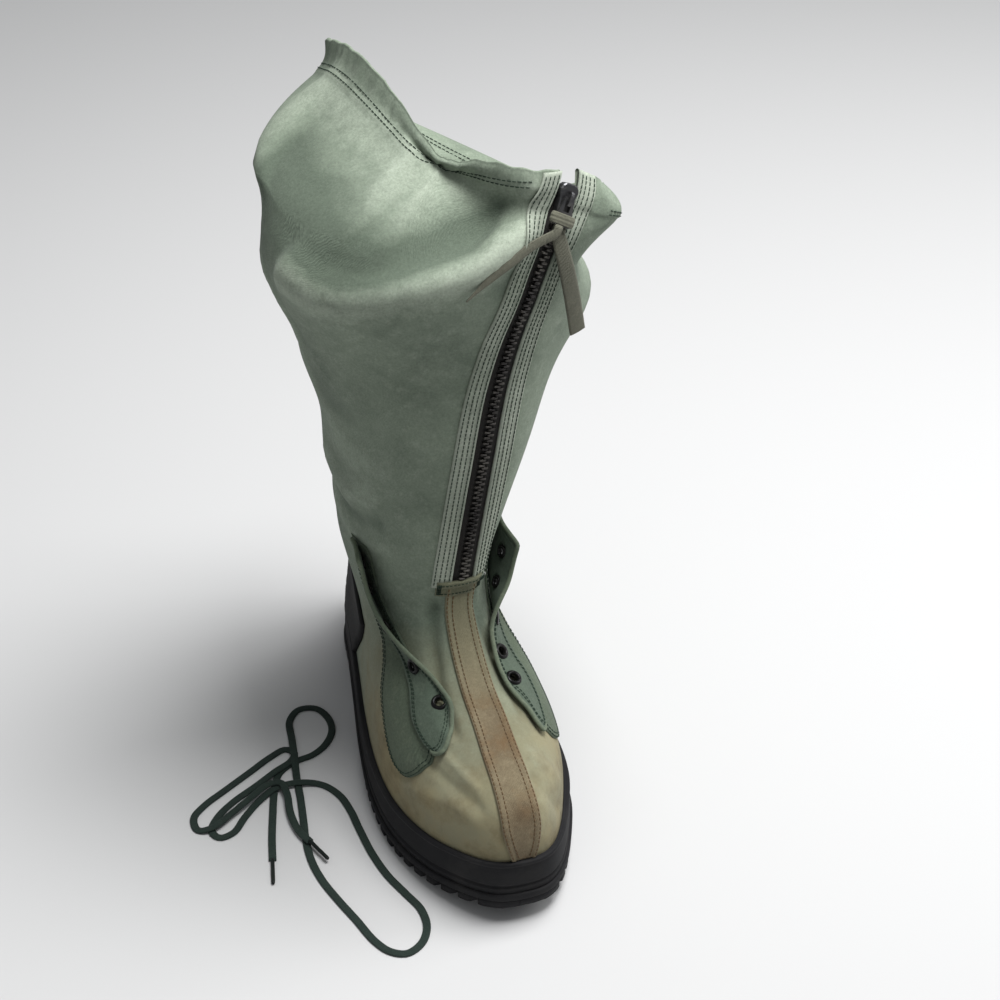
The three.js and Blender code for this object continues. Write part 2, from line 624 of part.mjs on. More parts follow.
// Foxing: the rubber wall from the outsole to its lip, against the upper's own face.
function foxingGeometry() {
  const rows = [
    { at: 0.000, inset: plateLip - 0.4 },
    { at: 0.008, inset: plateLip - 0.4 },
    { at: 0.011, inset: plateLip - 0.4 + foxingGroove },
    { at: 0.016, inset: plateLip - 0.2 },
    { at: 0.042, inset: plateLip + 0.6 },
    { at: 0.050, inset: edgeInset - clearance - foxingLip * 0.6 },
  ];
  const turns = wholeTurn(facetTurns);
  const outside = turns.map((turn) => rows.map(({ at, inset }) => {
    const edge = soleEdge(turn, inset);
    return new THREE.Vector3(edge.x, edge.y, upperFace(turn, at).z - springGap(turn, at, edge.y));
  }));
  const inside = turns.map((turn) => rows.map(({ at }) => skin(turn, at, clearance)));
  return wallSolid(inside, outside);
}

// Upper: one canvas wall from the sole to the collar, thicker along the drawcord casing, with the
// slit that the zip fills.
function upperGeometry(zipFoot) {
  const half = zipWidth / 2 + clearance;
  const slit = sheetSolid(slitSide(zipFoot, half, cutDepth), slitSide(zipFoot, half, -cutDepth));
  return fromManifold(layer(-canvas, hemOut).subtract(toManifold(slit)));
}

// One side of the cutter for the zip's slit, which runs on past the collar.
function slitSide(zipFoot, half, out) {
  return ringsBetween(zipFoot, 1).concat([1 + slitPast]).map((at) => {
    const on = Math.min(at, 1);
    return [-half, 0, half].map((distance) => {
      const point = skin(turnAt(on, distance), on, out);
      point.z += (at - on) * ringRise;
      return point;
    });
  });
}

// Insole: a felt slab that fills the foot inside the upper.
function insoleGeometry() {
  const low = 0.002;
  const high = 0.002 + (insoleThickness / (foxingTop - upperFoot)) * 0.05;
  const rows = steps(low, high, 2);
  const inside = canvas + clearance;
  return stackSolid(rows.map((at) => wholeTurn(facetTurns).map((turn) => skin(turn, at, -inside))));
}

// Heel counter: a rubber cup round the heel, from the foxing's lip up to a curved top edge. Its
// front edge slants forward from the foxing to a rounded tip.
function counterGeometry() {
  const across = 26;
  const footRing = counterFootRing;
  const topRing = (turn, share) => {
    const low = ringAtHeight(turn, mix(counterTop, counterTipTop, Math.abs(2 * share - 1) ** 1.6));
    return Math.max(low, footRing + 0.01);
  };
  const grid = (out) => steps(0, 1, 5).map((height) => {
    const frontY = mix(counterReach + counterSlant, counterReach, Math.sin((height * Math.PI) / 2));
    return steps(0, 1, across).map((share) => {
      const guess = mix(footRing, 0.3, height);
      const lateral = turnAtY(-1, guess, frontY);
      const medial = turnAtY(1, guess, frontY) - 360;
      const turn = mix(lateral, medial, share);
      const at = mix(footRing, topRing(turn, share), height);
      return skin(turn < -180 ? turn + 360 : turn, at, out);
    });
  });
  const cup = toManifold(sheetSolid(grid(cutDepth), grid(-clearance)));
  return fromManifold(layer(clearance, clearance + counterThickness).intersect(cup));
}

// Front strip: the canvas band from the foot of the zip down over the toe to the foxing.
function stripGeometry(zipFoot) {
  const half = (at) => {
    const share = clamp(at / zipFoot, 0, 1);
    const upperPart = mix(stripBallWidth, stripTopWidth, clamp((share - 0.3) / 0.7, 0, 1));
    return mix(stripToeWidth, upperPart, clamp((share - 0.09) / 0.14, 0, 1) ** 0.7) / 2;
  };
  const ats = ringsBetween(stripEndRing, zipFoot - stripGap);
  return bandOnUpper(clearance, clearance + stripThickness, ats, (at) => -half(at), half);
}

// The drawcord casing stands proud of the wall by this much at a ring.
function hemOut(at) {
  return at > hemRing ? hemStep : 0;
}

// Facings: the stitched bands along both sides of the zip.
function facingGeometry(side, zipFoot) {
  const near = (zipWidth / 2) * side;
  const far = (zipWidth / 2 + facingWidth) * side;
  const ats = ringsBetween(zipFoot, 1).concat([1 + slitPast]);
  const low = (at) => clearance + hemOut(at);
  const high = (at) => low(at) + facingThickness;
  return bandOnUpper(low, high, ats, () => Math.min(near, far), () => Math.max(near, far));
}

function tapeGeometry(zipFoot) {
  const ats = ringsBetween(zipFoot + 0.0015, zipEndRing);
  const half = zipWidth / 2;
  const top = -clearance;
  return bandOnUpper(top - tapeThickness, top, ats, () => -half, () => half);
}

function chainGeometry(zipFoot, sliderRing) {
  const ats = ringsBetween(zipFoot + 0.004, sliderRing - chainGapRing());
  const half = chainWidth / 2;
  return bandOnUpper(0, chainThickness, ats, () => -half, () => half);
}

// The part of the way up that the lower half of the slider and its clearance take.
function chainGapRing() {
  return (sliderLength / 2 + clearance + 1) / ringRise;
}

function shieldGeometry(zipFoot) {
  const ats = ringsBetween(zipFoot - 0.004, zipEndRing);
  const half = shieldWidth / 2;
  const near = -canvas - clearance;
  return bandOnUpper(near - shieldThickness, near, ats, () => -half, () => half);
}

// The slider's frame: its place on the zip, across to the medial side, up the zip and outwards.
function sliderFrame(sliderRing) {
  const up = skin(0, sliderRing + 0.012, 0).sub(skin(0, sliderRing - 0.02, 0)).normalize();
  const origin = skin(0, sliderRing, 0);
  const around = upperFace(3, sliderRing).sub(upperFace(-3, sliderRing)).normalize();
  const out = around.clone().cross(up).normalize();
  const across = up.clone().cross(out).normalize();
  return new THREE.Matrix4().makeBasis(across, up, out).setPosition(origin);
}

// Slider: a body that is wider at its top, with a bridge for the pull tab.
function sliderGeometry() {
  const w = sliderWidth / 2;
  const h = sliderLength / 2;
  const outlineShape = new THREE.Shape();
  outlineShape.moveTo(-w * 0.62, -h);
  outlineShape.lineTo(w * 0.62, -h);
  outlineShape.lineTo(w * 0.75, -h * 0.1);
  outlineShape.lineTo(w, h * 0.55);
  outlineShape.quadraticCurveTo(w * 0.9, h, w * 0.3, h);
  outlineShape.lineTo(-w * 0.3, h);
  outlineShape.quadraticCurveTo(-w * 0.9, h, -w, h * 0.55);
  outlineShape.lineTo(-w * 0.75, -h * 0.1);
  outlineShape.closePath();
  const depth = sliderThickness - 1.4;
  const body = new THREE.ExtrudeGeometry(outlineShape, {
    depth, bevelEnabled: true, bevelThickness: 0.7, bevelSize: 0.7, bevelSegments: 1, curveSegments: 3,
  });
  body.translate(0, 0, 0.7);
  const bridge = new THREE.Shape();
  const reach = bridgeReach;
  bridge.moveTo(-reach, 0);
  bridge.lineTo(-reach, bridgeHeight * 0.55);
  bridge.quadraticCurveTo(-reach, bridgeHeight, 0, bridgeHeight);
  bridge.quadraticCurveTo(reach, bridgeHeight, reach, bridgeHeight * 0.55);
  bridge.lineTo(reach, 0);
  bridge.lineTo(reach - bridgeBar, 0);
  bridge.lineTo(reach - bridgeBar, bridgeHeight * 0.5);
  bridge.quadraticCurveTo(reach - bridgeBar, bridgeHeight - bridgeBar, 0, bridgeHeight - bridgeBar);
  bridge.quadraticCurveTo(-reach + bridgeBar, bridgeHeight - bridgeBar, -reach + bridgeBar, bridgeHeight * 0.5);
  bridge.lineTo(-reach + bridgeBar, 0);
  bridge.closePath();
  const arch = new THREE.ExtrudeGeometry(bridge, { depth: bridgeBar * 1.6, bevelEnabled: false, curveSegments: 4 });
  arch.translate(0, 0, -bridgeBar * 0.8);
  arch.applyMatrix4(new THREE.Matrix4().makeBasis(
    new THREE.Vector3(0, 1, 0), new THREE.Vector3(0, 0, 1), new THREE.Vector3(1, 0, 0)));
  arch.translate(0, 0, sliderThickness - 0.05);
  return fromManifold(toManifold(body).add(toManifold(arch)));
}

// Pull tab: a flat bar whose eye runs under the slider's bridge. Its hinge pin is its own origin.
function tabGeometry() {
  const pin = tabPin / 2;
  const w = tabWidth / 2;
  const base = tabBase / 2;
  const round = 2;
  const eye = bridgeBar * 0.8 + 0.9;
  const plate = new THREE.Shape();
  plate.moveTo(-w * 0.8, pin);
  plate.lineTo(w * 0.8, pin);
  plate.lineTo(w, -tabLength * 0.25);
  plate.lineTo(base, -tabLength + round);
  plate.quadraticCurveTo(base, -tabLength, base - round, -tabLength);
  plate.lineTo(round - base, -tabLength);
  plate.quadraticCurveTo(-base, -tabLength, -base, -tabLength + round);
  plate.lineTo(-w, -tabLength * 0.25);
  plate.closePath();
  const window = new THREE.Path();
  const top = -pin;
  const low = -pin - bridgeReach - bridgeBar - 1;
  window.moveTo(-eye, top);
  window.lineTo(-eye, low);
  window.lineTo(eye, low);
  window.lineTo(eye, top);
  window.closePath();
  plate.holes.push(window);
  const tab = new THREE.ExtrudeGeometry(plate, { depth: tabPin, bevelEnabled: false, curveSegments: 5 });
  tab.translate(0, 0, -tabPin / 2);
  return tab;
}

// The ribbon's wrap round the pull tab.
function knotGeometry() {
  const inside = [tabBase / 2 + clearance, tabPin / 2 + clearance];
  const ring = (wide, deep) => {
    const path = new THREE.Shape();
    path.moveTo(-wide, -deep);
    path.lineTo(wide, -deep);
    path.lineTo(wide, deep);
    path.lineTo(-wide, deep);
    path.closePath();
    return path;
  };
  const outer = ring(inside[0] + ribbonThickness, inside[1] + ribbonThickness);
  outer.holes.push(ring(inside[0], inside[1]));
  const knot = new THREE.ExtrudeGeometry(outer, { depth: knotLength, bevelEnabled: false });
  knot.rotateX(Math.PI / 2);
  knot.translate(0, -knotPlace + knotLength / 2, 0);
  return knot;
}

// A flat ribbon along points, with its flat side facing the given directions.
function ribbonGeometry(points, outs, widths, thickness) {
  const count = points.length;
  const grid = points.map((point, k) => {
    const along = points[Math.min(k + 1, count - 1)].clone().sub(points[Math.max(k - 1, 0)]).normalize();
    const side = new THREE.Vector3().crossVectors(along, outs[k]).normalize();
    const out = new THREE.Vector3().crossVectors(side, along).normalize();
    const w = widths[k] / 2;
    const t = thickness / 2;
    const corners = [[-w, -t], [w, -t], [w, t], [-w, t]];
    return corners.map(([a, b]) => point.clone().addScaledVector(side, a).addScaledVector(out, b));
  });
  return stackSolid(grid);
}

// A ribbon tail that leaves the knot straight and then hangs in front of the shaft.
function tailGeometry(rows, hinge, aside, off) {
  const knotEnd = -knotPlace - knotLength / 2 - clearance;
  const points = [0, tailStraight].map((down) => (
    new THREE.Vector3(aside, knotEnd - down, off).applyMatrix4(hinge)));
  const widths = [rows[0].width, rows[0].width];
  const start = points[1].clone();
  for (const share of steps(0, 1, tailSteps)) {
    const row = {};
    for (const name of Object.keys(rows[0])) row[name] = column(rows, name, share);
    points.push(start.clone().add(new THREE.Vector3(row.inward, -row.forward, -row.down)));
    widths.push(row.width);
  }
  const out = new THREE.Vector3(0, 0, 1).transformDirection(hinge);
  return ribbonGeometry(points, points.map(() => out), widths, ribbonThickness);
}

// The place on the upper of a point on a lace flap. along runs from its lower end (0) to its top
// (1), and across from its sewn edge (0) to its free edge (1).
function flapSpot(table, along, across, from, to) {
  const at = column(table, 'ring', along);
  const near = column(table, from, along);
  const far = column(table, to, along);
  return { at, distance: mix(near, far, across) };
}

// The share along a flap at which it crosses a ring.
function alongAtRing(table, ring) {
  let low = 0;
  let high = 1;
  for (let i = 0; i < 24; i += 1) {
    const middle = (low + high) / 2;
    if (column(table, 'ring', middle) < ring) low = middle;
    else high = middle;
  }
  return (low + high) / 2;
}

function flapAlongs(table) {
  return ringsBetween(table[0].ring, table[table.length - 1].ring).map((ring) => alongAtRing(table, ring));
}

function flapGrid(side, table, from, to, offset, columns) {
  return flapAlongs(table).map((along) => steps(0, 1, columns).map((across) => {
    const spot = flapSpot(table, along, across, from, to);
    const turn = turnAt(spot.at, side * spot.distance);
    return skin(turn, spot.at, offset(along, across));
  }));
}

// A point on the facets of a flap's grid.
function onGrid(grid, alongs, along, across) {
  let k = 0;
  while (k < alongs.length - 2 && along > alongs[k + 1]) k += 1;
  const t = (along - alongs[k]) / (alongs[k + 1] - alongs[k]);
  const columns = grid[0].length - 1;
  const n = clamp(Math.floor(across * columns), 0, columns - 1);
  const u = across * columns - n;
  const low = grid[k][n].clone().lerp(grid[k][n + 1], u);
  return low.lerp(grid[k + 1][n].clone().lerp(grid[k + 1][n + 1], u), t);
}

function patchGeometry(side, table) {
  const top = flapGrid(side, table, 'outer', 'inner', () => cutDepth, flapColumns);
  const bottom = flapGrid(side, table, 'outer', 'inner', () => -cutDepth / 2, flapColumns);
  const sheet = layer(clearance, clearance + patchThickness);
  return fromManifold(sheet.intersect(toManifold(sheetSolid(top, bottom))));
}

// How far the flap's underside stands off the upper.
function flapLift(table, along, across) {
  return 2 * clearance + patchThickness + column(table, 'lift', along) * across ** 1.7;
}

function flapGeometry(side, table, eyelets) {
  const low = (along, across) => flapLift(table, along, across);
  const high = (along, across) => flapLift(table, along, across) + flapThickness;
  const top = flapGrid(side, table, 'seam', 'edge', high, flapColumns);
  let flap = toManifold(sheetSolid(top, flapGrid(side, table, 'seam', 'edge', low, flapColumns)));
  for (const frame of eyelets) {
    const hole = new THREE.CylinderGeometry(eyeletBarrel + clearance, eyeletBarrel + clearance, 12, 10);
    hole.rotateX(Math.PI / 2);
    hole.applyMatrix4(frame);
    flap = flap.subtract(toManifold(hole));
  }
  return fromManifold(flap);
}

function flapLength(side, table) {
  const grid = flapGrid(side, table, 'seam', 'edge', () => 0, 1);
  return grid.slice(1).reduce((sum, row, k) => sum + row[1].distanceTo(grid[k][1]), 0);
}

// The frame of an eyelet: its origin in the middle of the flap's thickness, its Z axis outwards.
function eyeletFrame(side, table, along) {
  const edge = column(table, 'edge', along);
  const seam = column(table, 'seam', along);
  const across = 1 - eyeletInset / Math.max(Math.abs(seam - edge), eyeletInset * 1.6);
  const alongs = flapAlongs(table);
  const middle = (a, b) => flapLift(table, a, b) + flapThickness / 2;
  const grid = flapGrid(side, table, 'seam', 'edge', middle, flapColumns);
  const wide = eyeletOuter / 2 / Math.abs(seam - edge);
  const long = eyeletOuter / 2 / flapLength(side, table);
  const [back, front] = [onGrid(grid, alongs, along, across - wide), onGrid(grid, alongs, along, across + wide)];
  const [low, high] = [onGrid(grid, alongs, along - long, across), onGrid(grid, alongs, along + long, across)];
  const origin = back.clone().add(front).add(low).add(high).multiplyScalar(0.25);
  const x = front.sub(back).normalize();
  const y = high.sub(low).normalize();
  const z = new THREE.Vector3().crossVectors(x, y).normalize();
  const turn = turnAt(column(table, 'ring', along), side * mix(seam, edge, across));
  const face = upperFace(turn, column(table, 'ring', along));
  if (z.dot(origin.clone().sub(face)) < 0) z.negate();
  y.crossVectors(z, x).normalize();
  return new THREE.Matrix4().makeBasis(x, y, z).setPosition(origin);
}

// Eyelet: a barrel with a rolled flange on the outside and a washer inside, round the Z axis.
function eyeletGeometry() {
  const half = flapThickness / 2 + eyeletSeat;
  const bore = eyeletBore / 2;
  const outer = eyeletOuter / 2;
  const flange = eyeletFlange;
  const profile = [
    [bore, -half - eyeletRim], [eyeletBarrel + eyeletWasher, -half - eyeletRim],
    [eyeletBarrel + eyeletWasher, -half], [eyeletBarrel, -half], [eyeletBarrel, half], [outer, half],
    [outer - flange / 2, half + flange], [bore, half + flange], [bore, -half - eyeletRim],
  ];
  const lathe = new THREE.LatheGeometry(profile.map(([r, z]) => new THREE.Vector2(r, z)), 8);
  lathe.rotateX(Math.PI / 2);
  return fromManifold(toManifold(lathe));
}

// The lace: a flat cord on the floor. Each row is a point of its middle line and the layer in
// which it lies, because it passes over itself.
const laceRoute = [
  [-128, -73, 0], [-125, -55, 0], [-121, -36, 0], [-116, -15, 0], [-110, 0, 0], [-98, 8, 0],
  [-86, 11, 0], [-76, 18, 0], [-69, 30, 0], [-69, 43, 0], [-75, 54, 0], [-86, 56, 0],
  [-94, 47, 0], [-96, 30, 0.2], [-98, 9, 1], [-100, -8, 0.2], [-101, -24, 0], [-103, -44, 0],
  [-105, -63, 0], [-105, -80, 0], [-102, -97, 0], [-96, -115, 0], [-89, -133, 0], [-82, -152, 0],
  [-75, -162, 0], [-66, -166, 0], [-56, -161, 0], [-50, -150, 0], [-50, -136, 0], [-56, -121, 0],
  [-63, -104, 0], [-68, -84, 0], [-71, -62, 0], [-73, -44, 0], [-77, -29, 0], [-86, -17, 0],
  [-100, -13, 1], [-115, -14, 1], [-127, -21, 0.2], [-138, -32, 0], [-147, -43, 0], [-156, -45, 0],
  [-160, -38, 0], [-155, -28, 0], [-143, -17, 0], [-126, -7, 0.3], [-112, 1, 1], [-101, 8, 0.6],
  [-97, 15, 0.2], [-102, 21, 0], [-112, 17, 0], [-129, 6, 0], [-146, -5, 0], [-161, -15, 0],
  [-169, -24, 0], [-168, -35, 0], [-159, -37, 1], [-146, -29, 1.3], [-132, -20, 2], [-118, -11, 2],
  [-111, -12, 2], [-109, -22, 1.4], [-110, -38, 1], [-108, -54, 1], [-103, -66, 1.2],
];

function lacePoint([x, y, layer]) {
  return new THREE.Vector3(x, y, laceThickness / 2 + laceFloorGap + layer * (laceThickness + laceLayerGap));
}

const laceCurve = new THREE.CatmullRomCurve3(laceRoute.map(lacePoint), false, 'centripetal');

function laceGeometry() {
  const sides = laceSides;
  const topCorner = Math.sin((((sides / 4 - 0.5) * 2) / sides) * Math.PI);
  const rings = steps(0, 1, laceSteps).map((share) => {
    const point = laceCurve.getPointAt(share);
    const along = laceCurve.getTangentAt(share).setZ(0).normalize();
    const side = new THREE.Vector3(along.y, -along.x, 0);
    return Array.from({ length: sides }, (_, k) => {
      const angle = ((k + 0.5) / sides) * 2 * Math.PI;
      const flat = Math.sign(Math.cos(angle)) * Math.abs(Math.cos(angle)) ** 0.5;
      const a = (flat * laceWidth) / 2;
      const b = (Math.sin(angle) / topCorner) * (laceThickness / 2);
      return new THREE.Vector3(point.x + side.x * a, point.y + side.y * a, point.z + b);
    });
  });
  return stackSolid(rings);
}

// Aglet: a hard tip that carries on from an end of the lace.
function agletGeometry(end) {
  const from = laceCurve.getPointAt(end);
  const along = laceCurve.getTangentAt(end).setZ(0).normalize();
  if (end === 0) along.negate();
  const sides = 8;
  const levels = [[0, 0.85], [0.06, 1], [0.94, 0.92], [1, 0.6]];
  const side = new THREE.Vector3(along.y, -along.x, 0);
  return stackSolid(levels.map(([share, size]) => {
    const centre = from.clone().addScaledVector(along, clearance + share * agletLength);
    centre.z = from.z + (agletWidth - laceThickness) / 2;
    const radius = (agletWidth / 2) * size;
    return Array.from({ length: sides }, (_, k) => {
      const angle = (k / sides) * 2 * Math.PI;
      const point = centre.clone().addScaledVector(side, radius * Math.cos(angle));
      point.z += radius * Math.sin(angle);
      return point;
    });
  }));
}

const materials = {
  shaft: new THREE.MeshStandardMaterial({ color: 0x8fa394, roughness: 0.9, metalness: 0 }),
  strip: new THREE.MeshStandardMaterial({ color: 0xa49070, roughness: 0.9, metalness: 0 }),
  flap: new THREE.MeshStandardMaterial({ color: 0x5f7763, roughness: 0.9, metalness: 0 }),
  rubber: new THREE.MeshStandardMaterial({ color: 0x28282b, roughness: 0.7, metalness: 0 }),
  felt: new THREE.MeshStandardMaterial({ color: 0x9a9a90, roughness: 1, metalness: 0 }),
  teeth: new THREE.MeshStandardMaterial({ color: 0x2a2624, roughness: 0.4, metalness: 0.7 }),
  steel: new THREE.MeshStandardMaterial({ color: 0x4a4a4c, roughness: 0.35, metalness: 0.9 }),
  eyelet: new THREE.MeshStandardMaterial({ color: 0x141414, roughness: 0.25, metalness: 0.3 }),
  ribbon: new THREE.MeshStandardMaterial({ color: 0x66675a, roughness: 0.85, metalness: 0 }),
  lace: new THREE.MeshStandardMaterial({ color: 0x20302a, roughness: 0.85, metalness: 0 }),
};

const boot = new THREE.Group();

function add(name, geometry, material, matrix) {
  const mesh = new THREE.Mesh(geometry, material);
  mesh.name = name;
  if (matrix) mesh.applyMatrix4(matrix);
  boot.add(mesh);
  return mesh;
}

const zipFoot = ringAtHeight(0, zipBottom);
const sliderRing = ringAtHeight(0, sliderHeight);

add('outsole', outsoleGeometry(), materials.rubber);
add('foxing', foxingGeometry(), materials.rubber);
add('heel_counter', counterGeometry(), materials.rubber);
add('upper', upperGeometry(zipFoot), materials.shaft);
add('insole', insoleGeometry(), materials.felt);
add('front_strip', stripGeometry(zipFoot), materials.strip);
add('zip_tape', tapeGeometry(zipFoot), materials.teeth);
add('zip_chain', chainGeometry(zipFoot, sliderRing), materials.teeth);
add('zip_facing_lateral', facingGeometry(-1, zipFoot), materials.shaft);
add('zip_facing_medial', facingGeometry(1, zipFoot), materials.shaft);
add('fly_shield', shieldGeometry(zipFoot), materials.shaft);

const slider = sliderFrame(sliderRing);
add('zip_slider', sliderGeometry(), materials.steel, slider);
const hinge = slider.clone().multiply(
  new THREE.Matrix4().makeTranslation(0, 0, sliderThickness + (bridgeHeight - bridgeBar) * 0.5));
add('pull_tab', tabGeometry(), materials.steel, hinge);
add('ribbon_knot', knotGeometry(), materials.ribbon, hinge);
add('ribbon_tail_wide', tailGeometry(wideTail, hinge, 1.2, -tailOff), materials.ribbon);
add('ribbon_tail_thin', tailGeometry(thinTail, hinge, -1.5, tailOff), materials.ribbon);

const sides = [
  { sideName: 'lateral', side: -1, table: lateralFlap, patch: lateralPatch },
  { sideName: 'medial', side: 1, table: medialFlap, patch: medialPatch },
];
for (const { sideName, side, table, patch } of sides) {
  const frames = eyeletPlaces.map((along) => eyeletFrame(side, table, along));
  add(`lace_patch_${sideName}`, patchGeometry(side, patch), materials.flap);
  add(`lace_flap_${sideName}`, flapGeometry(side, table, frames), materials.flap);
  frames.forEach((frame, k) => add(`eyelet_${sideName}_${k + 1}`, eyeletGeometry(), materials.eyelet, frame));
}

add('lace', laceGeometry(), materials.lace);
add('lace_tip_front', agletGeometry(0), materials.lace);
add('lace_tip_rear', agletGeometry(1), materials.lace);

export default boot;
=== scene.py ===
"""Looks of the extreme cold weather boot: washed canvas over a black rubber sole.

All working sizes are millimetres in the frame's own axes: the toe points to -Y, the outer side to
-X, the inner side to +X and the floor is z = 0. Meshes are made in metres at the origin.
"""

import bpy
import numpy as np
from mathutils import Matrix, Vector


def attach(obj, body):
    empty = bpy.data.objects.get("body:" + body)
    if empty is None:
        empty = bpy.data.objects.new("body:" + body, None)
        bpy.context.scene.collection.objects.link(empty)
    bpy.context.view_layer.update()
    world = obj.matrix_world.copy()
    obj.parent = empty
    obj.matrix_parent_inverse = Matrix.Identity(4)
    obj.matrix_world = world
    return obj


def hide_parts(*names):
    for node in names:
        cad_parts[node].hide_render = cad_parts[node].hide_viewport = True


MM = 0.001
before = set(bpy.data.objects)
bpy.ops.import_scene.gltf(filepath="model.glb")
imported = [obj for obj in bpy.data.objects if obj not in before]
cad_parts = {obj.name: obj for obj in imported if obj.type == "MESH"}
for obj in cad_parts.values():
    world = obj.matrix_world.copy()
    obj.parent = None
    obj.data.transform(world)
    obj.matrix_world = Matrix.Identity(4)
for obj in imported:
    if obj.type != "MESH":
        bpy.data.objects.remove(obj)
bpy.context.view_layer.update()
scene = bpy.context.scene
scene.view_settings.view_transform = "Standard"

# Sole and foot
SOLE_LENGTH = 320
BALL_LATERAL = 67
BALL_MEDIAL = 60
TOE_SHIFT = 8
TOE_SPRING = 12
SPRING_START = 60
LUG_DEPTH = 6
LUG_LENGTH = 6.5
LUG_GAP = 4
PLATE_TOP = 11
ARCH_RECESS = 3
ARCH_FRONT = 8
ARCH_LENGTH = 84
FOXING_TOP = 35
EDGE_INSET = 6
CLEARANCE = 0.3
OUTLINE_ROUND = 0.7
# Upper
COLLAR_HEIGHT = 412
CANVAS = 1.8
HEM_STEP = 0.9
HEM_HEIGHT = 21
HEM_NARROWER = 12
GATHER_OUT = 0.4
GATHER_UP = 0.5
SLIT_START = 0.0007
ZIP_WIDTH = 13
ZIP_BOTTOM = 155
SHIELD_HALF = 20
SHIELD_THICKNESS = 1.2
TOOTH_PITCH = 1.9
TOOTH_ASIDE = 1.05
TOOTH_HALF = (2.1, 0.82, 2.5)
FACING_WIDTH = 12
SLIDER_HEIGHT = 399
# Heel cup
COUNTER_THICKNESS = 2.4
COUNTER_TOP = 108
COUNTER_REACH = 30
COUNTER_SLANT = 32
COUNTER_TIP_TOP = 90
COUNTER_FOOT_RING = 0.0535
# Small parts
BAND_LATERAL = 15.7
BAND_MEDIAL = 13.5
BAND_LOWER_STITCH = 1.65
BAND_RISE = 1.9
STRIP_TOP_WIDTH = 18
STRIP_BALL_WIDTH = 24
STRIP_TOE_WIDTH = 13
PATCH_THICKNESS = 1.1
PATCH_RIM = 0.35
BINDING_WIDTH = 2.8
BINDING_DEPTH = 2.7
FLAP_THICKNESS = 2
EYELET_INSET = 8.5
EYELET_BORE = 5
LACE_WIDTH = 4.8
LACE_THICKNESS = 1.5
LACE_LAYER_GAP = 0.4
LACE_FLOOR_GAP = 0.1
TIP_LENGTH = 19
TIP_WIDTH = 2.6
SLIDER_LENGTH = 15

HALF_LENGTH = SOLE_LENGTH / 2
LAST_HALF = HALF_LENGTH - EDGE_INSET
LAST_LATERAL = BALL_LATERAL - EDGE_INSET
LAST_MEDIAL = BALL_MEDIAL - EDGE_INSET
SHAFT_RISE = COLLAR_HEIGHT - FOXING_TOP
RING_RISE = SHAFT_RISE * 0.95
FOOT_RISE = (PLATE_TOP + CLEARANCE - FOXING_TOP) / SHAFT_RISE
MM_PER_DEGREE = 1.5
NEAR_TURN = 1.5
NEAR_RING = 0.004

# Camera, at the photograph's angle
CAMERA_AZIMUTH = -16.1
CAMERA_ELEVATION = 36.5
CAMERA_DISTANCE = 1466
CAMERA_TARGET = (109.5, 246.9, 0)
FOCAL_PIXELS = 1900
FRAME_PIXELS = 1000
SENSOR = 36

# Half widths of the foot's outline from the heel (0) to the toe (1), as shares of the ball's.
OUTLINE_COLUMNS = ("at", "lateral", "medial")
OUTLINE = [
    (0.00, 0.74, 0.83), (0.12, 0.83, 0.90), (0.22, 0.79, 0.82), (0.35, 0.82, 0.76), (0.50, 0.91, 0.84),
    (0.64, 1.00, 0.99), (0.76, 1.03, 1.02), (0.87, 0.97, 0.93), (0.94, 0.86, 0.87), (1.00, 0.76, 0.83),
]

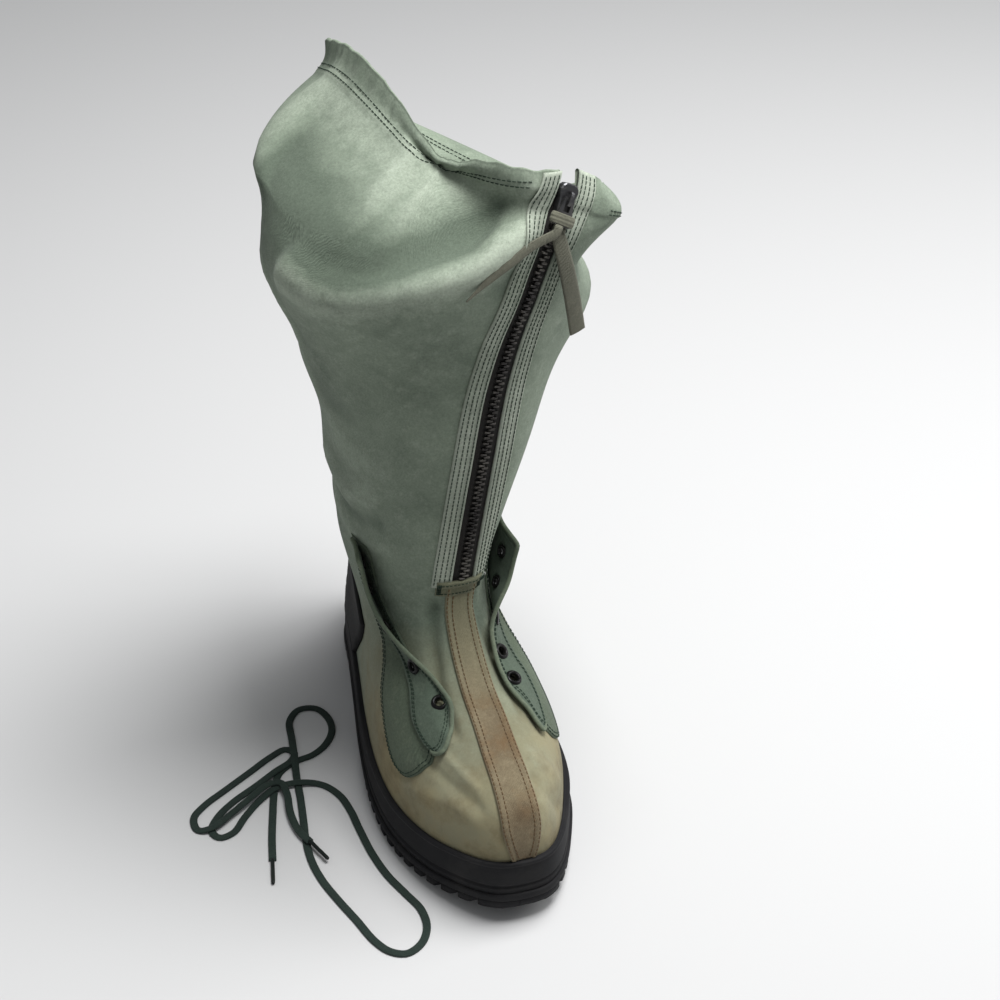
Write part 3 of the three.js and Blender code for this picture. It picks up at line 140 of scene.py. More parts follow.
# The upper's rings from the feather line (0) to the collar (1), as in the part's source. Places are
# shares of the last's half length and widths, rises of the way from the foxing's top to the collar.
RING_COLUMNS = ("at", "front_x", "front_y", "front_rise", "back_x", "back_y", "back_rise",
                "lateral", "medial", "foot", "round", "skew_out", "skew_in", "hike", "drop")
RINGS = [
    (0, 0.15, -1, FOOT_RISE, 0, 1, FOOT_RISE, 1, 1, 1, 0.7, 0, 0, 0, 0),
    (0.05, 0.15, -1.002, 0, 0, 1.002, 0, 1, 1, 1, 0.7, 0, 0, 0, 0),
    (0.1, 0.15, -0.994, 0.04, 0, 0.998, 0.037, 0.98, 0.98, 1, 0.71, 0, 0, 0, 0),
    (0.15, 0.15, -0.95, 0.083, 0, 0.99, 0.072, 0.94, 0.93, 1, 0.73, 0, 0, 0, 0),
    (0.2, 0.14, -0.85, 0.118, 0, 0.98, 0.101, 0.89, 0.86, 0.9, 0.76, 0, 0, 0, 0),
    (0.25, 0.12, -0.727, 0.143, 0, 0.967, 0.127, 0.84, 0.8, 0.75, 0.8, 0, 0, 0, 0),
    (0.3, 0.11, -0.6, 0.164, 0, 0.955, 0.151, 0.8, 0.74, 0.55, 0.84, 0, 0, 0, 0),
    (0.35, 0.09, -0.474, 0.181, 0, 0.945, 0.173, 0.78, 0.69, 0.35, 0.86, 0, 0, 0, 0),
    (0.4, 0.08, -0.36, 0.203, 0, 0.935, 0.196, 0.78, 0.64, 0.2, 0.88, 0, 0, 0, 0),
    (0.45, 0.07, -0.268, 0.236, 0, 0.928, 0.224, 0.8, 0.6, 0.1, 0.88, 0, 0, 0, 0),
    (0.5, 0.07, -0.208, 0.277, 0, 0.92, 0.26, 0.83, 0.59, 0, 0.88, 0, 0, 0, 0),
    (0.55, 0.12, -0.184, 0.324, 0.02, 0.905, 0.306, 0.88, 0.61, 0, 0.87, 0, 0, 0, 0),
    (0.62, 0.21, -0.184, 0.41, 0.05, 0.885, 0.396, 1.02, 0.76, 0, 0.86, 0, 0, 0, 0),
    (0.7, 0.34, -0.205, 0.545, 0.09, 0.86, 0.536, 1.13, 1, 0, 0.86, 0, 0, 0, 0),
    (0.78, 0.51, -0.21, 0.69, 0.08, 0.825, 0.69, 1.45, 1.18, 0, 0.87, 0, 0, 0, 0),
    (0.86, 0.79, -0.212, 0.83, -0.05, 0.8, 0.85, 1.76, 1.22, 0, 0.86, 0, 0.1, 0, 0.02),
    (0.92, 1.04, -0.19, 0.915, -0.18, 0.81, 0.955, 1.72, 1.06, 0, 0.84, 0.1, 0.3, 0.01, 0.05),
    (0.955, 1.2, -0.14, 0.955, -0.38, 0.835, 1.015, 0.8, 0.74, 0, 0.8, 0.4, 0.6, 0.02, 0.09),
    (1, 1.33, -0.072, 1, -0.44, 0.858, 1.064, 0.62, 0.5, 0, 0.78, 0.6, 0.8, 0.027, 0.12),
]

# Broad folds of the slack shaft, as in the part's source.
FOLDS = [
    # turn, ring, reach in turn, reach in rings, out as a share of the last's inner width
    (-52, 0.950, 34, 0.028, -0.55),
    (-45, 0.865, 48, 0.030, 0.10),
    (-138, 0.938, 40, 0.026, 0.42),
    (28, 0.965, 20, 0.055, 0.42),
    (-112, 0.80, 30, 0.030, -0.10),
    (84, 0.80, 30, 0.042, 0.42),
    (56, 0.875, 24, 0.020, -0.10),
    (-100, 0.60, 30, 0.022, -0.07),
    (150, 0.585, 34, 0.022, -0.09),
    (170, 0.72, 34, 0.028, 0.12),
]

# The collar's edge sags and rises along its way, as in the part's source: lift is a share of the way
# from the foxing's top to the collar, and it fades out below COLLAR_SOFT_FROM.
COLLAR_WAVES = [
    # turn, turn reach, lift
    (-70, 19, -0.044),
    (-124, 26, 0.02),
    (98, 28, -0.024),
]
COLLAR_SOFT_FROM = 0.92

# Soft creases and ridges: a line of (turn, ring) points, the half width of its slope and how
# far it stands out, both in millimetres. Turns are degrees from the zip, medial positive.
CREASES = [
    # The two long folds that sag under the collar and the hollow between them.
    {"line": [(-133, 0.965), (-103, 0.957), (-69, 0.948), (-49, 0.945), (-30, 0.958), (-16, 0.975)],
     "reach": 8, "out": 3.5},
    {"line": [(-118, 0.925), (-97, 0.918), (-76, 0.908), (-59, 0.902), (-40, 0.916), (-24, 0.938)],
     "reach": 9, "out": -8.0},
    {"line": [(-84, 0.884), (-66, 0.877), (-53, 0.882), (-39, 0.896), (-17, 0.910), (-9, 0.925)],
     "reach": 7, "out": 6.5},
    # Short folds that run into them from above and at the back of the leg.
    {"line": [(-84, 0.965), (-80, 0.945), (-70, 0.930)], "reach": 4, "out": 1.8},
    {"line": [(-60, 0.960), (-58, 0.940), (-52, 0.925)], "reach": 4, "out": 1.6},
    {"line": [(-101, 0.850), (-90, 0.835), (-84, 0.800)], "reach": 4.5, "out": -1.8},
    {"line": [(-112, 0.860), (-98, 0.830), (-92, 0.795)], "reach": 4.5, "out": 1.8},
    {"line": [(-80, 0.745), (-62, 0.722), (-48, 0.728)], "reach": 8, "out": -1.6},
    {"line": [(-78, 0.705), (-60, 0.690), (-46, 0.700)], "reach": 8, "out": 1.6},
    # Folds over the ankle, above the lateral lace flap.
    {"line": [(-95, 0.660), (-74, 0.640), (-50, 0.655)], "reach": 5, "out": 2.0},
    {"line": [(-98, 0.625), (-72, 0.604), (-48, 0.622)], "reach": 5, "out": -2.4},
    {"line": [(-96, 0.590), (-66, 0.572), (-44, 0.590)], "reach": 5, "out": 1.6},
    # The canvas sinks beside the instep band and puckers over the toe.
    {"line": [(-14, 0.500), (-21, 0.430), (-26, 0.350), (-26, 0.290)], "reach": 7, "out": -3.0},
    {"line": [(16, 0.500), (24, 0.430), (28, 0.350), (30, 0.290)], "reach": 7, "out": -1.8},
    {"line": [(-33, 0.225), (-27, 0.210), (-19, 0.190)], "reach": 4, "out": 1.5},
    {"line": [(-44, 0.200), (-32, 0.178), (-20, 0.160)], "reach": 4, "out": -1.4},
    {"line": [(-63, 0.105), (-47, 0.132), (-35, 0.150), (-24, 0.135)], "reach": 5, "out": 1.2},
    {"line": [(22, 0.215), (32, 0.180), (39, 0.120)], "reach": 5, "out": 1.6},
    {"line": [(14, 0.190), (23, 0.155), (30, 0.105)], "reach": 5, "out": -1.5},
]


def column(columns, table, name, at):
    """A smooth curve through one column: cubic pieces whose slope at each row is the difference
    of its two neighbours over their distance."""
    rows = np.array(table, float)
    place = rows[:, 0]
    value = rows[:, columns.index(name)]
    before = np.maximum(np.arange(len(rows)) - 1, 0)
    after = np.minimum(np.arange(len(rows)) + 1, len(rows) - 1)
    slope = (value[after] - value[before]) / (place[after] - place[before])
    k = np.searchsorted(place[1:-1], at, side="left")
    span = place[k + 1] - place[k]
    t = np.clip((at - place[k]) / span, 0, 1)
    change = value[k + 1] - value[k]
    rise = slope[k] * span
    fall = slope[k + 1] * span
    return value[k] + rise * t + (3 * change - 2 * rise - fall) * t**2 + (rise + fall - 2 * change) * t**3


def mix(a, b, share):
    return a + (b - a) * share


def smooth(low, high, value):
    """0 below low, 1 above high and a smooth step between."""
    t = np.clip((value - low) / (high - low), 0, 1)
    return t * t * (3 - 2 * t)


def unit(vectors):
    return vectors / np.maximum(np.linalg.norm(vectors, axis=-1, keepdims=True), 1e-9)


def spring(y):
    """Rise of the sole towards the toe: the square of the share of the way to its tip."""
    share = np.maximum((-y - SPRING_START) / (HALF_LENGTH - SPRING_START), 0)
    return TOE_SPRING * share**2


def sole_edge(turn, inset):
    """A point of the sole's edge: a rounded oval whose half width follows the outline table."""
    angle = np.radians(np.abs(turn))
    forward = np.cos(angle)
    share = (1 + forward) / 2
    lateral = (BALL_LATERAL - inset) * column(OUTLINE_COLUMNS, OUTLINE, "lateral", share)
    medial = (BALL_MEDIAL - inset) * column(OUTLINE_COLUMNS, OUTLINE, "medial", share)
    reach = np.where(turn < 0, lateral, medial) * np.maximum(np.sin(angle), 0) ** OUTLINE_ROUND
    x = TOE_SHIFT * share + np.sign(turn) * reach
    return x, -(HALF_LENGTH - inset) * forward


def wrapped(turn):
    return (turn + 540) % 360 - 180


def upper_face(turn, at):
    """The upper's outer face. Each ring is an oval between a front and a back point from the ring
    table, and the broad folds push it out or in from the ring's middle."""
    turn, at = np.broadcast_arrays(np.asarray(turn, float), np.asarray(at, float))
    turn = wrapped(turn)
    ring = {name: column(RING_COLUMNS, RINGS, name, at) for name in RING_COLUMNS[1:]}
    side = np.where(turn < 0, -1.0, 1.0)
    angle = np.radians(np.abs(turn))
    share = (1 - np.cos(angle)) / 2
    front = np.stack([ring["front_x"] * LAST_MEDIAL, ring["front_y"] * LAST_HALF], -1)
    back = np.stack([ring["back_x"] * LAST_MEDIAL, ring["back_y"] * LAST_HALF], -1)
    axis = unit(back - front)
    shape = np.where(side < 0, column(OUTLINE_COLUMNS, OUTLINE, "lateral", 1 - share),
                     column(OUTLINE_COLUMNS, OUTLINE, "medial", 1 - share))
    skewed = angle + np.where(side < 0, ring["skew_out"], ring["skew_in"]) * np.sin(angle)
    width = np.where(side < 0, ring["lateral"] * LAST_LATERAL, ring["medial"] * LAST_MEDIAL)
    reach = width * mix(1, shape, ring["foot"]) * np.maximum(np.sin(skewed), 0) ** ring["round"]
    x = mix(front[..., 0], back[..., 0], share) + side * reach * axis[..., 1]
    y = mix(front[..., 1], back[..., 1], share) - side * reach * axis[..., 0]
    tilt = np.where(side < 0, ring["hike"], -ring["drop"])
    wave = sum(lift * np.exp(-((wrapped(turn - middle) / spread) ** 2))
               for middle, spread, lift in COLLAR_WAVES)
    soft = np.clip((at - COLLAR_SOFT_FROM) / (1 - COLLAR_SOFT_FROM), 0, 1) ** 2
    rise = mix(ring["front_rise"], ring["back_rise"], share) + tilt * np.sin(angle) + wave * soft
    z = FOXING_TOP + rise * SHAFT_RISE + spring(y)
    away = unit(np.stack([x, y], -1) - (front + back) / 2)
    out = np.zeros_like(x)
    for fold_turn, fold_at, turn_reach, at_reach, fold_out in FOLDS:
        across = wrapped(turn - fold_turn) / turn_reach
        along = (at - fold_at) / at_reach
        out = out + fold_out * LAST_MEDIAL * np.exp(-across**2 - along**2)
    return np.stack([x + away[..., 0] * out, y + away[..., 1] * out, z], -1)


def creased(turn, at):
    """How far the creases lift the face: for each, a bell curve of the distance from its
    line, measured with a degree as MM_PER_DEGREE and a ring as RING_RISE millimetres."""
    turn, at = np.broadcast_arrays(np.asarray(turn, float), np.asarray(at, float))
    place = np.stack([wrapped(turn) * MM_PER_DEGREE, at * RING_RISE], -1)
    total = np.zeros(turn.shape)
    for crease in CREASES:
        line = np.array(crease["line"], float) * (MM_PER_DEGREE, RING_RISE)
        nearest = np.full(turn.shape, 1e9)
        for start, end in zip(line[:-1], line[1:]):
            along = end - start
            t = np.clip(((place - start) @ along) / (along @ along), 0, 1)
            nearest = np.minimum(nearest, np.linalg.norm(place - start - t[..., None] * along, axis=-1))
        total += crease["out"] * np.exp(-((nearest / crease["reach"]) ** 2))
    return total


def hem_ring(turn):
    """The ring at which the casing ends, at each turn: its height below the collar's edge, measured
    down the face. It narrows towards the zip on the lateral side."""
    turn = wrapped(np.asarray(turn, float))
    ats = np.linspace(0.9, 1, 60)
    lookup = np.arange(-180, 181, 4.0)
    points = upper_face(lookup[:, None], ats[None, ::-1])
    run = np.concatenate([np.zeros((len(lookup), 1)),
                          np.cumsum(np.linalg.norm(np.diff(points, axis=1), axis=-1), axis=1)], axis=1)
    height = HEM_HEIGHT - HEM_NARROWER * smooth(-60, -14, lookup) * smooth(12, 0, lookup)
    found = np.array([np.interp(h, r, ats[::-1]) for h, r in zip(height, run)])
    return np.interp(turn, lookup, found)


def hem_out(turn, at):
    """The drawcord casing stands proud of the shaft."""
    return HEM_STEP * smooth(-0.003, 0.003, at - hem_ring(turn))


def face_normal(turn, at):
    """The face's outward normal, from its neighbours round the ring and up the face."""
    around = upper_face(turn + NEAR_TURN, at) - upper_face(turn - NEAR_TURN, at)
    up = upper_face(turn, np.clip(at + NEAR_RING, 0, 1)) - upper_face(turn, np.clip(at - NEAR_RING, 0, 1))
    return unit(np.cross(around, up))


def cloth(turn, at, out=0.0):
    """A point that far outside the upper's face, with its creases, along the face's own normal."""
    turn, at, out = np.broadcast_arrays(*(np.asarray(v, float) for v in (turn, at, out)))
    lift = out + creased(turn, at)
    return upper_face(turn, at) + face_normal(turn, at) * lift[..., None]


def turn_at(ats, distances):
    """The turn at which the face is that far from the zip line, along the ring: a lookup in the
    ring's own running length. distances has one row of places for each ring."""
    turns = np.arange(-170, 171, 1.0)
    steps = np.linalg.norm(np.diff(upper_face(turns[None, :], ats[:, None]), axis=1), axis=-1)
    run = np.concatenate([np.zeros((len(ats), 1)), np.cumsum(steps, axis=1)], axis=1)
    run -= run[:, [170]]
    return np.stack([np.interp(row, length, turns) for row, length in zip(distances, run)])


def halved(is_below, low, high, shape):
    """The place between low and high at which is_below stops being true, by halving."""
    low = np.full(shape, low)
    high = np.full(shape, high)
    for _ in range(26):
        middle = (low + high) / 2
        below = is_below(middle)
        low = np.where(below, middle, low)
        high = np.where(below, high, middle)
    return (low + high) / 2


def ring_at_height(turn, height):
    """The ring at which the face, at each turn, is that high over the floor."""
    return halved(lambda ring: upper_face(turn, ring)[..., 2] < height, 0.0, 1.0, np.shape(turn))


ZIP_FOOT = float(ring_at_height(0.0, ZIP_BOTTOM))
SLIDER_RING = float(ring_at_height(0.0, SLIDER_HEIGHT))


def quads(rows, cols, around=False):
    """Quads of a grid of points: each joins a point with the next in its row and with the next
    row. around joins the last column with the first."""
    i = np.arange(rows - 1)[:, None] * cols
    j = np.arange(cols if around else cols - 1)[None, :]
    k = (j + 1) % cols
    return np.stack([i + j, i + k, i + cols + k, i + cols + j], -1).reshape(-1, 4)


def rungs(start, cols):
    """A cap over a closed row of points: quads between the points that face each other."""
    j = np.arange(cols // 2 - 1)
    return start + np.stack([j, j + 1, cols - 2 - j, cols - 1 - j], -1)


def outward(points, faces):
    """Turns a closed shape's faces outwards: the sum of their signed volumes has to be positive."""
    a, b, c, d = (points[faces[:, k]] for k in range(4))
    volume = (a * np.cross(b, c)).sum() + (a * np.cross(c, d)).sum()
    return faces if volume > 0 else faces[:, ::-1]


def make(name, points, faces, material, replaces=(), body="boot", uv=None, slot=None, fields=None):
    """One piece: a smooth mesh from points in millimetres. uv is its cloth map, in millimetres too,
    and fields are numbers for each point that its material reads."""
    mesh = bpy.data.meshes.new(name)
    mesh.from_pydata((np.asarray(points, float) * MM).tolist(), [], np.asarray(faces).tolist())
    mesh.polygons.foreach_set("use_smooth", np.ones(len(mesh.polygons), bool))
    if uv is not None:
        corner = np.zeros(len(mesh.loops), np.int32)
        mesh.loops.foreach_get("vertex_index", corner)
        layer = mesh.uv_layers.new(name="cloth")
        layer.data.foreach_set("uv", (np.asarray(uv, float)[corner] * MM).ravel())
    for field, values in (fields or {}).items():
        store = mesh.attributes.new(field, "FLOAT", "POINT")
        store.data.foreach_set("value", np.asarray(values, float).ravel())
    mesh.materials.append(material)
    thing = bpy.data.objects.new(name, mesh)
    scene.collection.objects.link(thing)
    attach(thing, body)
    if replaces:
        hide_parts(*replaces)
    return thing


def running(points, axis):
    """Running length of a grid of points along one axis, from 0."""
    steps = np.linalg.norm(np.diff(points, axis=axis), axis=-1)
    first = np.zeros_like(np.take(steps, [0], axis=axis))
    return np.concatenate([first, np.cumsum(steps, axis=axis)], axis=axis)


def cloth_map(grid):
    """Flat places of a grid's points, in millimetres along its rows and columns."""
    return np.stack([running(grid, 1), running(grid, 0)], -1).reshape(-1, 2)


def stack(grid):
    """Points and outward faces of a solid from closed rows of points, capped at both ends."""
    rows, cols = grid.shape[:2]
    points = grid.reshape(-1, 3)
    faces = np.concatenate([quads(rows, cols, around=True), rungs(0, cols)[:, ::-1],
                            rungs((rows - 1) * cols, cols)])
    return points, outward(points, faces)


def looped(grid):
    """Points and outward faces of a closed shape whose rows and columns both run round it."""
    rows, cols = grid.shape[:2]
    index = np.arange(rows * cols).reshape(rows, cols)
    right = np.roll(index, -1, 1)
    faces = np.stack([index, right, np.roll(right, -1, 0), np.roll(index, -1, 0)], -1).reshape(-1, 4)
    points = grid.reshape(-1, 3)
    return points, outward(points, faces)


def sheet_faces(top, bottom):
    """Points and outward faces of a sheet between two grids of points, with a rim round it."""
    rows, cols = top.shape[:2]
    count = rows * cols
    points = np.concatenate([top.reshape(-1, 3), bottom.reshape(-1, 3)])
    over = quads(rows, cols)
    i = np.arange(rows) * cols
    rim = np.concatenate([np.arange(cols), i[1:] + cols - 1, i[-1] + np.arange(cols - 1)[::-1],
                          i[1:-1][::-1]])
    follow = np.roll(rim, -1)
    side = np.stack([rim + count, follow + count, follow, rim], -1)
    faces = np.concatenate([over, over[:, ::-1] + count, side])
    return points, outward(points, faces)


def compact(faces):
    """The numbers of the points that faces use, and the faces with these numbered anew."""
    used, faces = np.unique(faces, return_inverse=True)
    return used, faces.reshape(-1, 4)


def pierced(faces, inside, count):
    """A sheet's faces without those that touch a point marked as inside a hole, and with a wall
    round each hole: every edge of a dropped upper face whose other face stays gets a quad down to
    the lower side."""
    dropped = np.concatenate([inside, inside])[faces].any(axis=1)
    upper = faces[dropped & (faces < count).all(axis=1)]
    start, end = upper.ravel(), np.roll(upper, -1, axis=1).ravel()
    edge = ~np.isin(start * count + end, end * count + start)
    start, end = start[edge], end[edge]
    return np.concatenate([faces[~dropped], np.stack([start, end, end + count, start + count], -1)])


def sheet(name, top, bottom, material, inside=None, **settings):
    """A piece of cloth between two grids of points. inside is true at points that lie in holes."""
    points, faces = sheet_faces(top, bottom)
    flat = cloth_map(top)
    flat = np.concatenate([flat, flat])
    if inside is not None:
        used, faces = compact(pierced(faces, inside.ravel(), len(points) // 2))
        points, flat = points[used], flat[used]
    return make(name, points, faces, material, uv=flat, **settings)


def join(name, pieces, material, **settings):
    """Several shapes in one mesh."""
    shift = 0
    points = []
    faces = []
    for piece_points, piece_faces in pieces:
        points.append(piece_points)
        faces.append(piece_faces + shift)
        shift += len(piece_points)
    make(name, np.concatenate(points), np.concatenate(faces), material, **settings)


def band_grid(ats, across, out):
    """Points on the upper for rows of distances from the zip line, that far off its face."""
    across = np.broadcast_to(across, (len(ats), np.shape(across)[-1]))
    turns = turn_at(np.asarray(ats), across)
    return cloth(turns, np.asarray(ats)[:, None], np.broadcast_to(out, across.shape))


def band(name, ats, across, top, bottom, material, **settings):
    """A strip of cloth on the upper between two heights over its face."""
    return sheet(name, band_grid(ats, across, top), band_grid(ats, across, bottom), material, **settings)


def resample(path, normals, step):
    """Points a fixed step apart along a line, with their directions and outward normals."""
    run = running(path, 0)
    count = max(int(run[-1] / step), 2)
    at = (np.arange(count) + 0.5) * run[-1] / count

    def pick(values, where):
        return np.stack([np.interp(where, run, values[:, k]) for k in range(3)], -1)

    return pick(path, at), unit(pick(path, at + 0.5) - pick(path, at - 0.5)), unit(pick(normals, at))


def carried(path, normals, profile):
    """A profile of (aside, out) points carried along a path: one row for each path point. The
    profile may also be a row of its own for each point."""
    along = unit(np.concatenate([path[1:], path[-1:]]) - np.concatenate([path[:1], path[:-1]]))
    side = unit(np.cross(along, normals))
    out = unit(np.cross(side, along))
    profile = profile if profile.ndim == 3 else profile[None]
    return path[:, None] + side[:, None] * profile[..., :1] + out[:, None] * profile[..., 1:]


def rounded(sides, width, depth, across=1.0, up=1.0, first=0.0):
    """Points of an oval, or of a rounded box where the powers are below 1."""
    angle = (np.arange(sides) + first) * 2 * np.pi / sides
    x = np.sign(np.cos(angle)) * np.abs(np.cos(angle)) ** across * width / 2
    return np.stack([x, np.sign(np.sin(angle)) * np.abs(np.sin(angle)) ** up * depth / 2], -1)


STITCHES = {}


def sew(thread, path, normals, pitch=2.8, length=2.5, thick=0.6):
    """A row of stitches: each is a small bean that dips into the cloth at both ends. They are
    gathered by thread, and each thread becomes one mesh."""
    points, along, out = resample(np.asarray(path, float), np.asarray(normals, float), pitch)
    side = np.cross(along, out)
    share = np.array([-0.5, -0.3, 0.3, 0.5]) * length
    height = np.array([-0.3, 0.14, 0.14, -0.3])
    girth = np.array([0.35, 1.0, 1.0, 0.35]) * thick / 2
    angle = np.arange(6) * np.pi / 3
    centre = points[:, None] + along[:, None] * share[:, None] + out[:, None] * height[:, None]
    ring = side[:, None] * np.cos(angle)[:, None] + out[:, None] * np.sin(angle)[:, None]
    beans = centre[:, :, None] + ring[:, None] * girth[:, None, None]
    STITCHES.setdefault(thread, []).append(beans.reshape(-1, 3))


def sew_on_upper(thread, ats, distances, out, **settings):
    """A stitch line on the upper through places given by ring and distance from the zip line."""
    turns = turn_at(ats, np.broadcast_to(distances, ats.shape)[:, None])[:, 0]
    sew(thread, cloth(turns, ats, out), face_normal(turns, ats), **settings)


def make_stitches(thread, material):
    """The gathered stitches of one thread: each bean is four rings of six points with flat ends."""
    points = np.concatenate(STITCHES[thread])
    sides = 6
    rings = 4
    one = np.concatenate([quads(rings, sides, around=True)[:, ::-1], rungs(0, sides),
                          rungs((rings - 1) * sides, sides)[:, ::-1]])
    starts = np.arange(len(points) // (rings * sides)) * rings * sides
    faces = (starts[:, None, None] + one).reshape(-1, 4)
    make("stitches_" + thread, points, outward(points, faces), material)


def between(low, high, count):
    return np.linspace(low, high, count)


# The upper: one canvas wall, round from one edge of the zip's slit to the other.
def slit_half(at):
    """Half the width of the zip's slit at a ring: nothing below the zip's foot."""
    return (ZIP_WIDTH / 2 + CLEARANCE) * (at > ZIP_FOOT + SLIT_START)


def upper_canvas():
    """Closed profile up the outer face, over the rolled collar edge and down the inner face, at
    each turn from the slit's medial edge round the back to its lateral edge. Below the zip's foot
    both ends of each ring are joined."""
    rings = np.unique(np.concatenate([between(0, 0.93, 128), between(0.93, 1, 34),
                                      [ZIP_FOOT, ZIP_FOOT + 0.0015]]))
    arc = between(0, np.pi, 7)[1:-1]
    middle = (HEM_STEP - CANVAS) / 2
    radius = (HEM_STEP + CANVAS) / 2
    ats = np.concatenate([rings, np.ones(len(arc)), rings[::-1]])
    rises = np.concatenate([np.zeros(len(rings)), np.sin(arc) * radius, np.zeros(len(rings))])
    half = slit_half(ats)
    near = turn_at(ats, half[:, None])[:, 0]
    far = turn_at(ats, -half[:, None])[:, 0] + 360
    share = between(0, 1, 236)
    turns = near[None, :] + (far - near)[None, :] * share[:, None]
    outer = hem_out(turns, ats[None, :])
    roll = middle + radius * np.cos(arc) + 0 * turns[:, len(rings):len(rings) + len(arc)]
    outs = np.concatenate([outer[:, :len(rings)], roll, np.full((len(share), len(rings)), -CANVAS)], 1)
    gather = np.sin(turns * 0.83 + 2.1 * np.sin(turns * 0.19)) + 0.6 * np.sin(turns * 1.7 + 1.3)
    hem = smooth(0, 0.02, ats[None, :] - hem_ring(turns))
    grid = cloth(wrapped(turns), ats[None, :], outs + GATHER_OUT * gather * hem)
    grid[..., 2] += rises + GATHER_UP * np.sin(turns * 0.47 + 0.8) * hem
    cols = len(ats)
    foot = int(np.argmax(rings > ZIP_FOOT + SLIT_START)) - 1
    index = np.arange(len(share) * cols).reshape(-1, cols)
    below = np.r_[0:foot + 1, cols - 1 - foot:cols]
    index[-1, below] = index[0, below]
    follow = np.roll(index, -1, axis=1)
    wall = np.stack([index[:-1], follow[:-1], follow[1:], index[1:]], -1).reshape(-1, 4)
    j = np.arange(foot, cols // 2)
    caps = [np.stack([edge[j], edge[j + 1], edge[cols - 2 - j], edge[cols - 1 - j]], -1)
            for edge in (index[0], index[-1])]
    caps = np.concatenate([caps[0], caps[1][:, ::-1]])
    caps = caps[[len(set(face)) == 4 for face in caps.tolist()]]
    points = grid.reshape(-1, 3)
    used, faces = compact(outward(points, np.concatenate([wall, caps])))
    around = running(upper_face(wrapped(turns), ats[None, :]), 0)
    flat = np.stack([around, running(grid, 1)], -1).reshape(-1, 2)
    # Crease heights, which the canvas colour turns into painted shade in hollows and a painted highlight on
    # ridges.
    ridge = creased(wrapped(turns), ats[None, :]).ravel()
    inner = np.broadcast_to(np.arange(cols) > len(rings) + 3, turns.shape).ravel()
    make("upper_canvas", points[used], faces, CLOTHS["shaft"], replaces=["upper"], uv=flat[used],
         slot="canvas", fields={"ridge": ridge[used], "inside": inner[used]})


# Rubber
def spring_gap(turn, at, y):
    return spring(upper_face(turn, at)[..., 1]) - spring(y)


FOXING_ROWS = [
    # ring, inset from the outsole's edge
    (0.0000, 1.6), (0.0060, 1.6), (0.0085, 1.7), (0.0100, 2.6), (0.0120, 2.6), (0.0138, 1.8), (0.0160, 1.7),
    (0.0240, 1.9), (0.0340, 2.3), (0.0420, 2.7), (0.0436, 2.8), (0.0448, 2.2), (0.0475, 2.1), (0.0500, 2.3),
    (0.0514, 3.1), (0.0518, 4.2),
]


def foxing_wall():
    """A profile of rings and insets carried round the sole's edge, closed by the upper's own face."""
    rows = np.array(FOXING_ROWS)
    turns = np.arange(-180, 180, 1.5)
    ats = rows[:, 0]
    x, y = sole_edge(turns[:, None], rows[None, :, 1])
    z = upper_face(turns[:, None], ats[None, :])[..., 2] - spring_gap(turns[:, None], ats[None, :], y)
    outer = np.stack([x, y, z], -1)
    low = np.concatenate([ats[:-1], [0.0512]])[::-1]
    inner = upper_face(turns[:, None], low[None, :])
    inner = inner + face_normal(turns[:, None], low[None, :]) * CLEARANCE
    points, faces = looped(np.concatenate([outer, inner], 1))
    make("foxing_rubber", points, faces, RUBBER, replaces=["foxing"], slot="rubber")


def waist_lift(y, z):
    """The waist stands off the floor: a squared sine along the arch, fading up to the plate."""
    waist = np.sin(np.pi * np.clip((y - ARCH_FRONT) / ARCH_LENGTH, 0, 1)) ** 2
    return np.where(z < LUG_DEPTH, ARCH_RECESS * waist * (1 - z / LUG_DEPTH), 0)


def bent(points):
    """Bends flat sole points up at the toe and lifts them at the waist."""
    x, y, z = points[..., 0], points[..., 1], points[..., 2]
    return np.stack([x, y, z + spring(y) + waist_lift(y, z)], -1)


PLATE_LEVELS = [
    # height, inset from the sole's edge
    (LUG_DEPTH, 0.3), (LUG_DEPTH + 0.6, 0), (PLATE_TOP - 1.2, 0), (PLATE_TOP - 0.4, 0.3), (PLATE_TOP, 1.2),
]


def tread_bar(low, high, side, groove):
    """Half a bar under the plate, between two places along the sole, from the groove in the middle
    to the edge. Its lower edges are eased."""
    along = between(low, high, 7)
    edge_x, edge_y = sole_edge(side * np.arange(0, 180.5, 0.5), 0.6)
    outer = np.interp(along, edge_y, edge_x)[:, None]
    inner = TOE_SHIFT / 2 + side * groove
    xs = inner + (outer - inner) * between(0, 1, 9)
    ys = np.broadcast_to(along[:, None], xs.shape)
    eased = np.zeros(xs.shape)
    eased[[0, -1]] = 0.5
    top = bent(np.stack([xs, ys, np.full(xs.shape, LUG_DEPTH + 0.5)], -1))
    return sheet_faces(top, bent(np.stack([xs, ys, eased], -1)))


def outsole_rubber():
    """The plate is the sole's outline at a few heights, with bars below it. The groove down their
    middle leaves out the four bars at either end."""
    levels = np.array(PLATE_LEVELS)
    x, y = sole_edge(np.arange(-180, 180, 1.5)[None, :], levels[:, 1:])
    pieces = [stack(bent(np.stack([x, y, np.broadcast_to(levels[:, :1], x.shape)], -1)))]
    pitch = LUG_LENGTH + LUG_GAP
    count = int(SOLE_LENGTH // pitch)
    start = -HALF_LENGTH + (SOLE_LENGTH - count * pitch - LUG_GAP) / 2
    for k in range(count + 1):
        low = max(start + k * pitch + (LUG_GAP if k else 0), -HALF_LENGTH + 0.8)
        high = min(start + (k + 1) * pitch, HALF_LENGTH - 0.8)
        groove = 2.5 if abs(k - count / 2) < count / 2 - 3 else 0
        pieces += [tread_bar(low, high, side, groove) for side in (-1, 1)]
    join("outsole_rubber", pieces, RUBBER, replaces=["outsole"], slot="rubber")


